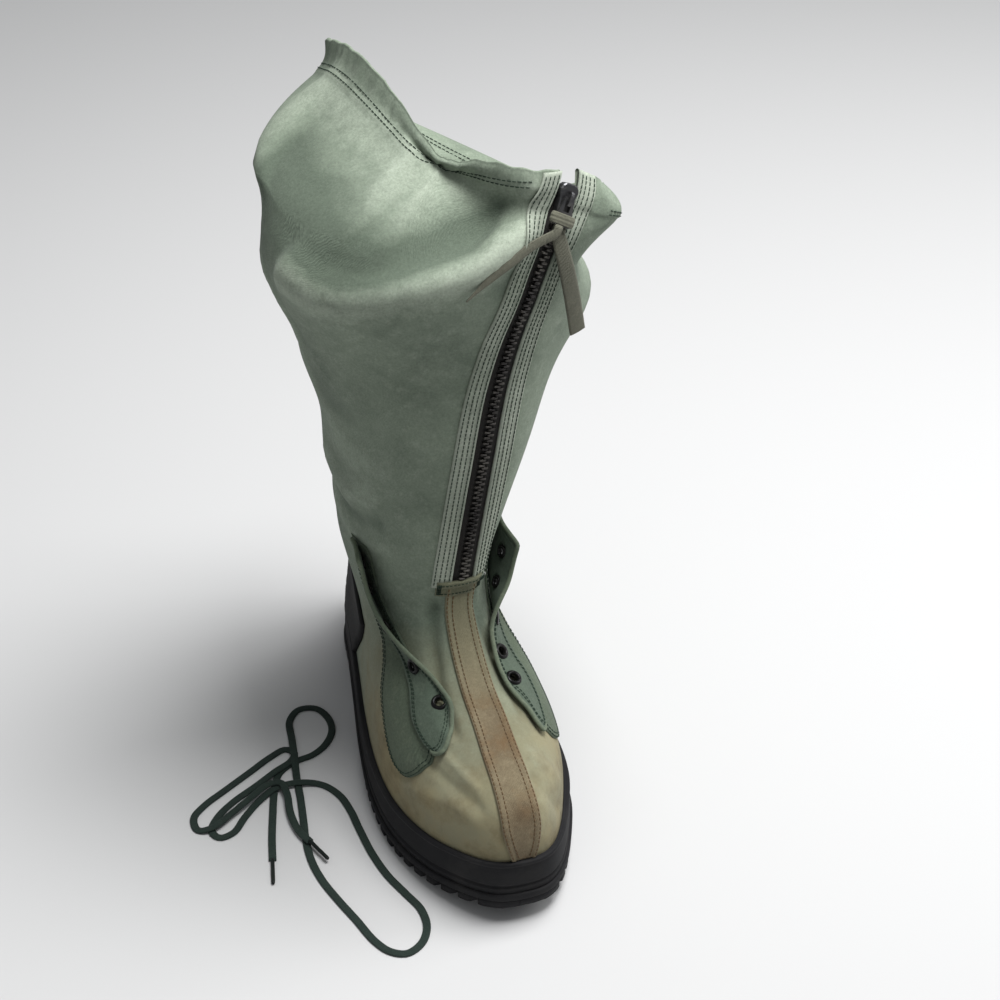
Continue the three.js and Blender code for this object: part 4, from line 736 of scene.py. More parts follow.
def turn_behind(side, at, y):
    """The turn on one side at which a ring is that far behind the middle of the sole."""
    return side * halved(lambda turn: upper_face(side * turn, at)[..., 1] < y, 20.0, 175.0, np.shape(at))


def heel_cup():
    """The heel cup runs round the heel between two slanting front edges, from the foxing up to a
    curved top. Shares run round it and up it, and its rim thins to a rounded edge."""
    height = between(0, 1, 30)[:, None]
    share = between(0, 1, 120)[None, :]
    foot = COUNTER_FOOT_RING
    front_y = mix(COUNTER_REACH + COUNTER_SLANT, COUNTER_REACH, np.sin(height * np.pi / 2))
    guess = mix(foot, 0.3, height)
    lateral = turn_behind(-1, guess, front_y)
    medial = turn_behind(1, guess, front_y) - 360
    turn = wrapped(mix(lateral, medial, share))
    top_height = mix(COUNTER_TOP, COUNTER_TIP_TOP, np.abs(2 * share - 1) ** 1.6)
    top = np.maximum(ring_at_height(turn, np.broadcast_to(top_height, turn.shape)), foot + 0.01)
    at = mix(foot, top, height)
    edge = np.minimum(np.minimum(share, 1 - share) / 0.014, (1 - height) / 0.05)
    rounding = np.sqrt(np.clip(1 - (1 - np.clip(edge, 0, 1)) ** 2, 0, 1))
    rib = 0.22 * (np.sin(turn * 2.2) > 0.2) * smooth(0.75, 0.6, height) * smooth(0.02, 0.1, height)
    out = CLEARANCE + 0.5 + (COUNTER_THICKNESS - 0.5) * rounding + rib
    over = upper_face(turn, at) + face_normal(turn, at) * out[..., None]
    under = upper_face(turn, at) + face_normal(turn, at) * CLEARANCE
    sheet("heel_cup", over, under, RUBBER_CUP, replaces=["heel_counter"], slot="rubber")


INSOLE_ROWS = [
    # ring, how far inside the upper's face
    (0.002, 2.6), (0.004, 2.2), (0.018, 2.2), (0.0205, 2.8), (0.021, 4.5),
]


def felt_insole():
    """A flat slab whose edge lies just inside the upper's lowest rings, with a rounded top edge."""
    turns = np.arange(-180, 180, 3.0)[None, :]
    rows = np.array(INSOLE_ROWS)
    ats = rows[:, :1]
    grid = upper_face(turns, ats) - face_normal(turns, ats) * rows[:, 1:, None]
    points, faces = stack(grid)
    make("felt_insole", points, faces, FELT, replaces=["insole"], slot="felt")


# Canvas pieces on the front
def strip_half(at):
    """Half the strip's width at a ring: narrow at the toe, widest over the ball."""
    share = np.clip(at / ZIP_FOOT, 0, 1)
    upper_part = mix(STRIP_BALL_WIDTH, STRIP_TOP_WIDTH, np.clip((share - 0.3) / 0.7, 0, 1))
    return mix(STRIP_TOE_WIDTH, upper_part, np.clip((share - 0.09) / 0.14, 0, 1) ** 0.7) / 2


STRIP_HEM = [
    # share of the half width, height over the upper
    (1, 0.5), (0.985, 1.2), (0.93, 1.75), (0.8, 1.8), (0.7, 1.6), (0.62, 1.15), (0.3, 1.0), (0, 1.0),
]


def front_strip():
    """The band over the instep and the toe, with its two hems folded under and sewn twice."""
    ats = between(COUNTER_FOOT_RING, ZIP_FOOT + 0.004, 130)
    hem = np.array(STRIP_HEM)
    share, over = np.concatenate([hem * (-1, 1), hem[-2::-1]]).T
    half = strip_half(ats)[:, None]
    band("front_strip_canvas", ats, half * share, over, CLEARANCE, CLOTHS["strip"], replaces=["front_strip"],
         slot="strip_canvas")
    inner = between(0.058, ZIP_FOOT - 0.004, 90)
    for side in (-1, 1):
        for inset, out in ((1.4, 1.7), (4.6, 1.15)):
            sew_on_upper("brown", inner, side * (strip_half(inner) - inset), out)


def bar_band():
    """The short band that holds the zip's foot and the ends of both facings: sewn across twice and
    barred at its ends. It is higher where it lies over the facings."""
    ats = between(ZIP_FOOT - 0.018, ZIP_FOOT + 0.008, 19)
    across = between(-BAND_LATERAL, BAND_MEDIAL, 31)
    hem = 1 - np.abs(between(-1, 1, 31)) ** 10
    raised = smooth(-0.004, 0.001, ats - ZIP_FOOT)[:, None]
    over = 0.5 + 0.4 * raised + (1.1 + 1.5 * raised) * hem
    band("zip_foot_band", ats, across, over, 0.2 + 0.3 * raised, CLOTHS["band"])
    for at, out in ((ZIP_FOOT - 0.014, BAND_LOWER_STITCH), (ZIP_FOOT + 0.004, BAND_LOWER_STITCH + BAND_RISE)):
        sew_on_upper("green", np.full(20, at), between(-BAND_LATERAL + 1, BAND_MEDIAL - 1, 20), out,
                     pitch=2.2, length=1.9)
    rows = between(ZIP_FOOT - 0.015, ZIP_FOOT + 0.006, 8)
    out = BAND_LOWER_STITCH + BAND_RISE * smooth(-0.004, 0.001, rows - ZIP_FOOT)
    for end in (-BAND_LATERAL + 1.2, BAND_MEDIAL - 3.0):
        for step in (0.0, 0.9, 1.8):
            sew_on_upper("green", rows, np.full(8, end + step), out, pitch=1.2, length=1.4, thick=0.8)


def facings():
    """The bands along both sides of the zip: corded edges, a turned hem and four stitch lines."""
    ats = between(ZIP_FOOT - 0.002, 1.0, 120)
    near = ZIP_WIDTH / 2
    share = between(0, 1, 21)
    cords = 0.55 * np.exp(-(((share - 0.06) / 0.06) ** 2)) + 0.4 * np.exp(-(((share - 0.5) / 0.08) ** 2))
    cords = cords + 0.35 * np.exp(-(((share - 0.95) / 0.05) ** 2))
    low = (CLEARANCE + hem_out(9.0, ats))[:, None]
    for side, name in ((-1, "lateral"), (1, "medial")):
        edge = np.clip(np.minimum(share, 1 - share) / 0.05, 0.3, 1)
        pucker = 0.12 * np.sin(ats * 520)[:, None] * np.sin(share * np.pi)
        over = low + 1.1 * edge + cords + pucker
        across = side * (near + FACING_WIDTH * share)
        if side < 0:
            over, across = over[:, ::-1], across[::-1]
        band("zip_facing_cloth_" + name, ats, across, over, low, CLOTHS["facing"],
             replaces=["zip_facing_" + name], slot="canvas")
        inner = between(ZIP_FOOT + 0.002, 0.996, 100)
        for place, out in ((1.9, 1.5), (4.6, 1.25), (7.4, 1.25), (10.4, 1.35)):
            sew_on_upper("green", inner, side * (near + place), CLEARANCE + hem_out(9.0, inner) + out)


def casing_stitches():
    """Two rows along the foot of the drawcord casing, from one side of the zip to the other."""
    turns = wrapped(between(18, 342, 400))
    for inset in (1.6, 3.8):
        ats = hem_ring(turns) + inset / RING_RISE
        sew("green", cloth(turns, ats, HEM_STEP + 0.1), face_normal(turns, ats))


def zip_tapes():
    """The zip's woven tape behind the teeth, with a corded rise under each row of them."""
    ats = between(ZIP_FOOT + 0.0015, 0.973, 110)
    across = between(-ZIP_WIDTH / 2, ZIP_WIDTH / 2, 15)
    over = -0.3 + 0.35 * np.exp(-((np.abs(across) - 3.4) / 0.8) ** 2)
    band("zip_tape_cloth", ats, across, over, -1.3, TAPE, replaces=["zip_tape"], slot="zip_tape")


def zip_teeth():
    """Two rows of moulded teeth, set half a pitch apart, each a rounded block across the tape."""
    ring = between(ZIP_FOOT + 0.004, SLIDER_RING - (SLIDER_LENGTH / 2 + CLEARANCE + 1) / RING_RISE, 400)
    line = cloth(np.zeros(400), ring, 0.0)
    points, along, out = resample(line, face_normal(np.zeros(400), ring), TOOTH_PITCH)
    aside = np.cross(out, along)
    side = np.where(np.arange(len(points)) % 2, 1.0, -1.0)[:, None]
    centre = points + aside * side * TOOTH_ASIDE
    profile = np.array([(-1, -0.8, 0.2), (-1, 0.8, 0.2), (1, 0.8, 0.2), (1, -0.8, 0.2),
                        (-0.9, -0.75, 0.85), (-0.9, 0.75, 0.85), (0.9, 0.75, 0.85), (0.9, -0.75, 0.85),
                        (-0.7, -0.5, 1), (-0.7, 0.5, 1), (0.7, 0.5, 1), (0.7, -0.5, 1)])
    block = profile * TOOTH_HALF
    corners = (centre[:, None] + aside[:, None] * block[None, :, :1] + along[:, None] * block[None, :, 1:2]
               + out[:, None] * block[None, :, 2:])
    one = np.array([[0, 1, 2, 3], [4, 5, 1, 0], [5, 6, 2, 1], [6, 7, 3, 2], [7, 4, 0, 3], [8, 9, 5, 4],
                    [9, 10, 6, 5], [10, 11, 7, 6], [11, 8, 4, 7], [11, 10, 9, 8]])
    faces = (np.arange(len(centre))[:, None, None] * 12 + one).reshape(-1, 4)
    flat = corners.reshape(-1, 3)
    teeth = make("zip_teeth", flat, outward(flat, faces), TEETH, replaces=["zip_chain"], slot="zip_metal")
    bevel = teeth.modifiers.new("Bevel", "BEVEL")
    bevel.width = 0.2 * MM
    bevel.segments = 1


def fly_shield():
    """The cloth flap behind the zip, which ends in a rounded tongue above the slider."""
    ats = np.concatenate([between(ZIP_FOOT - 0.004, 0.94, 90), between(0.944, 0.973, 12)])
    tip = np.clip((ats - 0.952) / 0.021, 0, 1)
    half = SHIELD_HALF * np.sqrt(np.clip(1 - tip**2, 0.02, 1))
    across = half[:, None] * between(-1, 1, 21)
    near = -CANVAS - CLEARANCE
    band("fly_shield_cloth", ats, across, near, near - SHIELD_THICKNESS, CLOTHS["facing"],
         replaces=["fly_shield"], slot="canvas")


# Lace flaps and the patches under them, as in the part's source, each with its side. Rows run from
# the lower end (0) to the top (1). Edge and seam are the distances of the free or inner edge and of
# the sewn or outer one from the zip line. Only flaps have the last column, how far they stand off.
# The first rows are finer here, so that the lower ends are round.
FLAP_COLUMNS = ("at", "ring", "edge", "seam", "lift")
FLAPS = {
    "lateral": (-1, [
        (0.00, 0.222, 46, 50, 0.5), (0.02, 0.227, 41, 54.5, 0.5), (0.06, 0.238, 36.5, 58, 0.8),
        (0.16, 0.258, 31, 61, 1.2), (0.28, 0.290, 25, 58, 2.0), (0.42, 0.335, 20, 52, 3.0),
        (0.56, 0.390, 30, 51, 6.5), (0.70, 0.450, 44, 64, 9.0), (0.85, 0.515, 54, 72, 9.0),
        (1.00, 0.575, 61, 79, 9.0)]),
    "medial": (1, [
        (0.00, 0.212, 51, 55, 0.5), (0.02, 0.217, 46.5, 59, 0.5), (0.06, 0.228, 43, 62, 0.8),
        (0.16, 0.250, 38, 64, 1.0), (0.28, 0.288, 31, 60, 1.4), (0.42, 0.340, 20, 50, 2.0),
        (0.56, 0.395, 16, 42, 3.0), (0.70, 0.455, 17, 42, 6.0), (0.85, 0.520, 24, 48, 13.0),
        (1.00, 0.585, 30, 52, 13.0)]),
}
PATCHES = {
    "lateral": [
        (0.00, 0.136, 93, 99), (0.03, 0.141, 85, 106), (0.08, 0.152, 78, 111), (0.18, 0.176, 66, 115),
        (0.32, 0.220, 49, 113), (0.48, 0.280, 45, 98), (0.62, 0.340, 42, 82), (0.76, 0.400, 42, 72),
        (0.88, 0.480, 54, 78), (1.00, 0.575, 66, 84)],
    "medial": [
        (0.00, 0.136, 95, 101), (0.03, 0.141, 87, 108), (0.08, 0.152, 80, 112), (0.18, 0.176, 68, 115),
        (0.32, 0.220, 54, 110), (0.48, 0.280, 46, 92), (0.62, 0.340, 36, 78), (0.76, 0.400, 32, 68),
        (0.88, 0.490, 36, 63), (1.00, 0.585, 44, 68)],
}
EYELET_PLACES = (0.39, 0.54, 0.68, 0.81, 0.93)
EYELET_SIDES = 40
EYELET_PROFILE = [
    # radius, height: up the bore, over the front flange, and round the washer behind
    (EYELET_BORE / 2, -2.0), (EYELET_BORE / 2 + 0.1, 1.2), (2.9, 2.0), (3.5, 2.35), (4.3, 2.25),
    (4.95, 1.75), (5.2, 1.2), (5.3, 0.9), (4.4, 0.8), (3.1, 0.9), (3.1, -1.0), (3.9, -1.2), (3.9, -1.7),
    (3.0, -2.1),
]


def flap_column(table, name, along):
    return column(FLAP_COLUMNS[:len(table[0])], table, name, along)


def flap_point(side, table, along, across, out):
    """A point over the upper between the two edges of a flap's or a patch's table, that far off its
    face: across runs from the sewn or outer edge (0) to the free or inner one (1)."""
    along, across, out = np.broadcast_arrays(*(np.asarray(v, float) for v in (along, across, out)))
    at = flap_column(table, "ring", along)
    distance = mix(flap_column(table, "seam", along), flap_column(table, "edge", along), across)
    flat = turn_at(at.ravel(), side * distance.reshape(-1, 1))[:, 0]
    return cloth(flat, at.ravel(), out.ravel()).reshape(at.shape + (3,))


def flap_lift(table, along, across):
    """How far the flap's under side is off the face: it stands off more towards its free edge."""
    return 2 * CLEARANCE + PATCH_THICKNESS + flap_column(table, "lift", along) * across**1.7


def flap_frame(side, table, along):
    """An eyelet's place on its flap: origin in the flap's middle, and axes across, along and out."""
    width = abs(float(flap_column(table, "seam", along) - flap_column(table, "edge", along)))
    across = 1 - EYELET_INSET / max(width, EYELET_INSET * 1.6)
    step = 0.02
    alongs = np.array([along, along, along - step, along + step, along])
    acrosses = np.array([across - 0.1, across + 0.1, across, across, across])
    spots = flap_point(side, table, alongs, acrosses,
                       flap_lift(table, alongs, acrosses) + FLAP_THICKNESS / 2)
    x = unit(spots[1] - spots[0])
    z = unit(np.cross(x, spots[3] - spots[2]))
    face = flap_point(side, table, np.array([along]), np.array([across]), 0.0)[0]
    z = z if z @ (spots[4] - face) > 0 else -z
    return spots[4], x, np.cross(z, x), z


def lace_flap(name, side, table, patch):
    """A sewn patch and the flap that stands off it. The patch gets painted shade round the eyelets' middles,
    where the holes look through to it, and the flap is pierced round them."""
    along = (between(0, 1, 90) ** 1.4)[:, None]
    across = between(0, 1, 26)[None, :]
    rim = np.minimum(np.minimum(across, 1 - across) / 0.05, np.minimum(along, 1 - along) / 0.02)
    over = CLEARANCE + PATCH_RIM + (PATCH_THICKNESS - PATCH_RIM) * np.sqrt(np.clip(rim, 0, 1))
    top = flap_point(side, patch, along, across, over)
    bottom = flap_point(side, patch, along, across, CLEARANCE)
    middles = np.array([flap_frame(side, table, place)[0] for place in EYELET_PLACES])
    nearest = np.linalg.norm(top[:, :, None] - middles, axis=-1).min(axis=-1)
    # Painted shade on the patch round each eyelet, where the flap's holes look through to it.
    eyelet_shades = 1 - smooth(EYELET_BORE / 2 + 1.5, EYELET_BORE / 2 + 4.5, nearest).ravel()
    sheet("lace_patch_cloth_" + name, top, bottom, CLOTHS["patch"], replaces=["lace_patch_" + name],
          slot="flap_canvas", fields={"eyelet_shade": np.concatenate([eyelet_shades, eyelet_shades])})
    lift = flap_lift(table, along, across) + 0 * across
    top = flap_point(side, table, along, across, lift + FLAP_THICKNESS)
    bottom = flap_point(side, table, along, across, lift)
    nearest = np.linalg.norm(top[:, :, None] - middles, axis=-1).min(axis=-1)
    sheet("lace_flap_cloth_" + name, top, bottom, CLOTHS["flap"], replaces=["lace_flap_" + name],
          slot="flap_canvas", inside=nearest < EYELET_BORE / 2 + 0.5)


def eyelet(side, table, place):
    """A round profile of radius and height turned about the eyelet's own axis."""
    angle = np.arange(EYELET_SIDES) * 2 * np.pi / EYELET_SIDES
    profile = np.array(EYELET_PROFILE)
    origin, x, y, z = flap_frame(side, table, place)
    ring = x * np.cos(angle)[:, None] + y * np.sin(angle)[:, None]
    return looped(origin + ring[None] * profile[:, :1, None] + z * profile[:, 1:, None])


def lace_flaps():
    """On each side a patch and a flap, a rolled binding, two pairs of stitch rows and five eyelets."""
    eyes = []
    for name, (side, table) in FLAPS.items():
        patch = PATCHES[name]
        lace_flap(name, side, table, patch)
        flap_binding(name, side, table)
        for inset in (1.4, 4.2):
            sew("green", *inner_line(side, patch, inset, CLEARANCE + PATCH_THICKNESS + 0.1))
        for inset in (3.0, 4.6):
            sew("green", *inner_line(side, table, inset))
        eyes += [eyelet(side, table, place) for place in EYELET_PLACES]
    names = [f"eyelet_{side}_{k}" for side in FLAPS for k in range(1, 6)]
    join("eyelets_enamel", eyes, ENAMEL, replaces=names, slot="eyelet_enamel")


def inner_line(side, table, inset, out=None):
    """A line that far inside the outline of a flap or patch, down one edge, round its lower end and
    up the other, with its outward normals. Without a height it lies on the flap's own face."""
    down = between(0.97, 0.02, 70) ** 1.3
    along = np.concatenate([down, np.full(9, down[-1]), down[::-1]])
    width = np.abs(flap_column(table, "seam", along) - flap_column(table, "edge", along))
    share = np.clip(inset / width, 0, 0.45)
    across = np.concatenate([share[:70], mix(share[70:79], 1 - share[70:79], between(0, 1, 9)),
                             1 - share[79:]])
    along = np.clip(along + inset / 240, 0, 1)
    height = out if out is not None else flap_lift(table, along, across) + FLAP_THICKNESS + 0.1
    line = flap_point(side, table, along, across, height)
    return line, unit(line - flap_point(side, table, along, across, height - 1))


def flap_binding(name, side, table):
    """A rolled band round the flap's lower end, free edge and top: an oval carried along them."""
    lower = between(0, 1, 12)
    rise = between(0.0, 1, 110) ** 1.4
    along = np.concatenate([np.full(12, 0.0), rise, np.full(12, 1.0)])
    across = np.concatenate([lower, np.full(110, 1.0), lower[::-1]])
    out = flap_lift(table, along, across) + FLAP_THICKNESS / 2
    path = flap_point(side, table, along, across, out)
    below = flap_point(side, table, along, across, out - 2)
    soft = np.array([0.25, 0.5, 0.25])
    for _ in range(3):
        for k in range(3):
            path[1:-1, k] = np.convolve(path[:, k], soft, mode="valid")
    oval = rounded(14, BINDING_WIDTH, BINDING_DEPTH)
    points, faces = stack(carried(path, unit(path - below), oval))
    make("flap_binding_" + name, points, faces, CLOTHS["binding"])


# Slider, pull tab and ribbons
def slider_frame():
    """The slider's frame in the part's source: origin, then across, up and out."""
    line = upper_face(0.0, np.array([SLIDER_RING - 0.02, SLIDER_RING, SLIDER_RING + 0.012]))
    up = unit(line[2] - line[0])
    around = unit(upper_face(3.0, SLIDER_RING) - upper_face(-3.0, SLIDER_RING))
    out = unit(np.cross(around, up))
    return line[1], np.cross(up, out), up, out


def metal_parts():
    """Slider and pull tab keep their own solids and get a better metal."""
    for name in ("zip_slider", "pull_tab"):
        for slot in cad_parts[name].material_slots:
            slot.material = METAL


# Where the tab's pin lies off the slider's base, and the knot's place on the tab below it.
HINGE_OUT = 6.9
KNOT_PLACE = 11.4
KNOT_LENGTH = 6
KNOT_SIDES = 28
KNOT_INNER = (12.6, 2.4)
KNOT_OUTER = (14.7, 4.4)
KNOT_PUFF = np.array([0.5, 0.4])
RIBBON = 1.0
RIBBON_STRAIGHT = 4
TAIL_COLUMNS = ("at", "down", "inward", "forward", "width")
TAILS = {
    # place across the tab, side of the tab (1 in front, -1 behind), and the way it hangs
    "wide": (1.2, -1, [(0.0, 1, 0, 0.5, 8), (0.2, 10, 2, 2.5, 9), (0.4, 22, 4.5, 4, 9.5),
                       (0.7, 40, 8, 4, 10), (1.0, 62, 12, 2, 10)]),
    "thin": (-1.5, 1, [(0.0, 1, -2, 0.5, 5), (0.25, 4, -15, 4, 5), (0.5, 10, -28, 8, 5),
                       (0.75, 17, -41, 11, 4), (1.0, 26, -54, 14, 2.5)]),
}


def at_pin(aside, along, off):
    """Points by their distances from the tab's pin: across the tab, up the shaft and off it."""
    centre, across, up, out = slider_frame()
    aside, along, off = (np.asarray(v)[..., None] for v in (aside, along, off))
    return centre + out * HINGE_OUT + across * aside + up * along + out * off


def ribbon_wrap():
    """The ribbon's wrap round the tab: a puffed rounded box with a bore."""
    levels = between(-1, 1, 17)
    along = (-KNOT_PLACE + levels * KNOT_LENGTH / 2)[:, None] + np.zeros(KNOT_SIDES)
    puff = np.abs(np.sin(levels * 4.7)) * KNOT_PUFF[:, None]
    rim = 1 - 0.12 * np.abs(levels) ** 6
    box = rounded(KNOT_SIDES, 2, 2, across=0.6, up=0.6) / 2
    outer = (np.array(KNOT_OUTER)[:, None] + puff) * rim
    inner = np.array(KNOT_INNER)[:, None] + 0 * levels
    walls = [at_pin(box[:, 0] * wall[0][:, None], along, box[:, 1] * wall[1][:, None])
             for wall in (outer, inner)]
    points, faces = looped(np.concatenate([walls[0], walls[1][::-1]]))
    make("ribbon_wrap", points, faces, CLOTHS["ribbon"], replaces=["ribbon_knot"], body="pull_tab",
         slot="ribbon")


def ribbon_tail(name, aside, turn_out, rows):
    """A tail that leaves the wrap straight and then hangs along its table, a little cupped. The
    thin one tapers to a point."""
    off = (0.9 + CLEARANCE + RIBBON / 2) * turn_out
    end = -KNOT_PLACE - KNOT_LENGTH / 2 - CLEARANCE
    straight = at_pin(np.full(3, aside), end - between(0, RIBBON_STRAIGHT, 3), np.full(3, off))
    row = {key: column(TAIL_COLUMNS, rows, key, between(0, 1, 46)) for key in TAIL_COLUMNS[1:]}
    hang = straight[-1] + np.stack([row["inward"], -row["forward"], -row["down"]], -1)
    path = np.concatenate([straight, hang])
    normals = np.broadcast_to(slider_frame()[3], path.shape)
    widths = np.concatenate([np.full(3, rows[0][4]), row["width"]])
    if name == "thin":
        widths[-12:] *= between(1, 0.25, 12)
    spread = between(-0.5, 0.5, 9)
    curl = 0.35 * np.cos(spread * np.pi) + 0.12
    top, bottom = (carried(path, normals, np.stack([widths[:, None] * spread,
                                                    np.broadcast_to(height, (len(path), 9))], -1))
                   for height in (curl, curl - 0.9))
    sheet("ribbon_" + name, top, bottom, CLOTHS["ribbon"], replaces=["ribbon_tail_" + name],
          body="pull_tab", slot="ribbon")


def ribbons():
    """The ribbon that is tied through the tab: its wrap and both tails."""
    ribbon_wrap()
    for name, (aside, turn_out, rows) in TAILS.items():
        ribbon_tail(name, aside, turn_out, rows)


# Lace
LACE_ROUTE = [
    # x, y, layer
    (-128, -73, 0), (-125, -55, 0), (-121, -36, 0), (-116, -15, 0), (-110, 0, 0), (-98, 8, 0),
    (-86, 11, 0), (-76, 18, 0), (-69, 30, 0), (-69, 43, 0), (-75, 54, 0), (-86, 56, 0),
    (-94, 47, 0), (-96, 30, 0.2), (-98, 9, 1), (-100, -8, 0.2), (-101, -24, 0), (-103, -44, 0),
    (-105, -63, 0), (-105, -80, 0), (-102, -97, 0), (-96, -115, 0), (-89, -133, 0), (-82, -152, 0),
    (-75, -162, 0), (-66, -166, 0), (-56, -161, 0), (-50, -150, 0), (-50, -136, 0), (-56, -121, 0),
    (-63, -104, 0), (-68, -84, 0), (-71, -62, 0), (-73, -44, 0), (-77, -29, 0), (-86, -17, 0),
    (-100, -13, 1), (-115, -14, 1), (-127, -21, 0.2), (-138, -32, 0), (-147, -43, 0), (-156, -45, 0),
    (-160, -38, 0), (-155, -28, 0), (-143, -17, 0), (-126, -7, 0.3), (-112, 1, 1), (-101, 8, 0.6),
    (-97, 15, 0.2), (-102, 21, 0), (-112, 17, 0), (-129, 6, 0), (-146, -5, 0), (-161, -15, 0),
    (-169, -24, 0), (-168, -35, 0), (-159, -37, 1), (-146, -29, 1.3), (-132, -20, 2), (-118, -11, 2),
    (-111, -12, 2), (-109, -22, 1.4), (-110, -38, 1), (-108, -54, 1), (-103, -66, 1.2),
]


def lace_line():
    """The lace's middle line: a curve through the route whose pieces are paced by the square root
    of the distance between their ends, resampled to even steps."""
    route = np.array(LACE_ROUTE, float)
    layer = LACE_THICKNESS / 2 + LACE_FLOOR_GAP + route[:, 2] * (LACE_THICKNESS + LACE_LAYER_GAP)
    route = np.column_stack([route[:, :2], layer])
    ends = np.concatenate([2 * route[:1] - route[1:2], route, 2 * route[-1:] - route[-2:-1]])
    pace = np.linalg.norm(np.diff(ends, axis=0), axis=1, keepdims=True) ** 0.5
    a, b, c, d = ends[:-3], ends[1:-2], ends[2:-1], ends[3:]
    first, middle, last = pace[:-2], pace[1:-1], pace[2:]
    leave = ((b - a) / first - (c - a) / (first + middle) + (c - b) / middle) * middle
    arrive = ((c - b) / middle - (d - b) / (middle + last) + (d - c) / last) * middle
    t = between(0, 1, 17)[:-1][None, :, None]
    b, c, leave, arrive = (v[:, None] for v in (b, c, leave, arrive))
    curve = (b + leave * t + (3 * (c - b) - 2 * leave - arrive) * t**2
             + (leave + arrive - 2 * (c - b)) * t**3)
    curve = np.concatenate([curve.reshape(-1, 3), route[-1:]])
    run = running(curve, 0)
    even = between(0, run[-1], int(run[-1] / 2.2))
    return np.stack([np.interp(even, run, curve[:, k]) for k in range(3)], -1)


LACE_TIP_SHAPE = [
    # share of the tip's length, share of its width
    (-0.06, 0.8), (0, 0.92), (0.05, 1), (0.12, 0.96), (0.5, 0.95), (0.9, 0.93), (0.97, 0.8), (1, 0.45),
]


def lace_tip(name, start, before):
    """A crimped tube that goes on in the lace's own direction."""
    share, size = np.array(LACE_TIP_SHAPE).T
    onward = unit((start - before) * (1, 1, 0))
    path = start + onward * (CLEARANCE + share[:, None] * TIP_LENGTH)
    path[:, 2] = start[2] + (TIP_WIDTH - LACE_THICKNESS) / 2
    oval = rounded(16, TIP_WIDTH, TIP_WIDTH)[None] * size[:, None, None]
    points, faces = stack(carried(path, np.broadcast_to([0.0, 0, 1], path.shape), oval))
    return make(f"lace_tip_{name}_sheath", points, faces, TIP, replaces=["lace_tip_" + name],
                slot="lace_tip")


def lace_and_tips():
    """A flat rounded tape carried along the lace's line, and a tip at each end."""
    line = lace_line()
    tape = rounded(16, LACE_WIDTH, LACE_THICKNESS, across=0.5, up=0.7, first=0.5)
    grid = carried(line, np.broadcast_to([0.0, 0, 1], line.shape), tape)
    points, faces = stack(grid)
    flat = np.stack([np.broadcast_to(tape[:, 0], grid.shape[:2]), running(grid, 0)], -1).reshape(-1, 2)
    lace = make("lace_tape", points, faces, CLOTHS["lace"], replaces=["lace"], uv=flat, slot="lace_cord")
    tips = [lace_tip("front", line[0], line[1]), lace_tip("rear", line[-1], line[-2])]


# Materials
class Nodes:
    """Short hand for one node tree: each call adds a node and links or sets its inputs."""

    def __init__(self, tree):
        self.tree = tree

    def add(self, kind, inputs=None, **settings):
        node = self.tree.nodes.new("ShaderNode" + kind)
        for name, value in settings.items():
            setattr(node, name, value)
        for name, value in (inputs or {}).items():
            if isinstance(value, bpy.types.NodeSocket):
                self.tree.links.new(value, node.inputs[name])
            else:
                node.inputs[name].default_value = value
        return node

    def math(self, kind, a, b=0.0):
        return self.add("Math", {0: a, 1: b}, operation=kind).outputs[0]

    def span(self, value, low, high, to_low=0.0, to_high=1.0):
        """A value carried from one span to another, kept inside it."""
        return self.add("MapRange", {"Value": value, "From Min": low, "From Max": high, "To Min": to_low,
                                     "To Max": to_high}).outputs["Result"]

    def noise(self, vector, scale, detail=3.0, rough=0.55):
        return self.add("TexNoise", {"Vector": vector, "Scale": scale, "Detail": detail,
                                     "Roughness": rough}).outputs["Fac"]

    def blend(self, share, a, b, mode="MIX"):
        node = self.add("Mix", data_type="RGBA", blend_type=mode)
        for index, value in ((0, share), (6, a), (7, b)):
            if isinstance(value, bpy.types.NodeSocket):
                self.tree.links.new(value, node.inputs[index])
            else:
                node.inputs[index].default_value = value
        return node.outputs[2]

    def shaded(self, colour, shade):
        """A colour multiplied by a number."""
        grey = self.add("CombineColor", {0: shade, 1: shade, 2: shade}).outputs[0]
        return self.blend(1.0, colour, grey, "MULTIPLY")

    def share(self, *shares):
        """Several shares multiplied together."""
        total = shares[0]
        for other in shares[1:]:
            total = self.math("MULTIPLY", total, other)
        return total

    def axis(self, vector, index):
        return self.add("SeparateXYZ", {0: vector}).outputs[index]

    def read(self, field):
        """A number that a piece carries at its points."""
        return self.add("Attribute", attribute_name=field).outputs["Fac"]

    def bump(self, height, strength, distance):
        settings = {"Height": height, "Strength": strength, "Distance": distance}
        return self.add("Bump", settings).outputs[0]

    def link(self, value, node, name):
        self.tree.links.new(value, node.inputs[name])


def group(name, inputs, outputs):
    """An empty node group with named inputs and outputs."""
    tree = bpy.data.node_groups.new(name, "ShaderNodeTree")
    kinds = {"number": "NodeSocketFloat", "colour": "NodeSocketColor", "vector": "NodeSocketVector"}
    for label, kind in inputs.items():
        tree.interface.new_socket(label, in_out="INPUT", socket_type=kinds[kind])
    for label, kind in outputs.items():
        tree.interface.new_socket(label, in_out="OUTPUT", socket_type=kinds[kind])
    start = tree.nodes.new("NodeGroupInput")
    end = tree.nodes.new("NodeGroupOutput")
    return tree, Nodes(tree), start.outputs, end.inputs


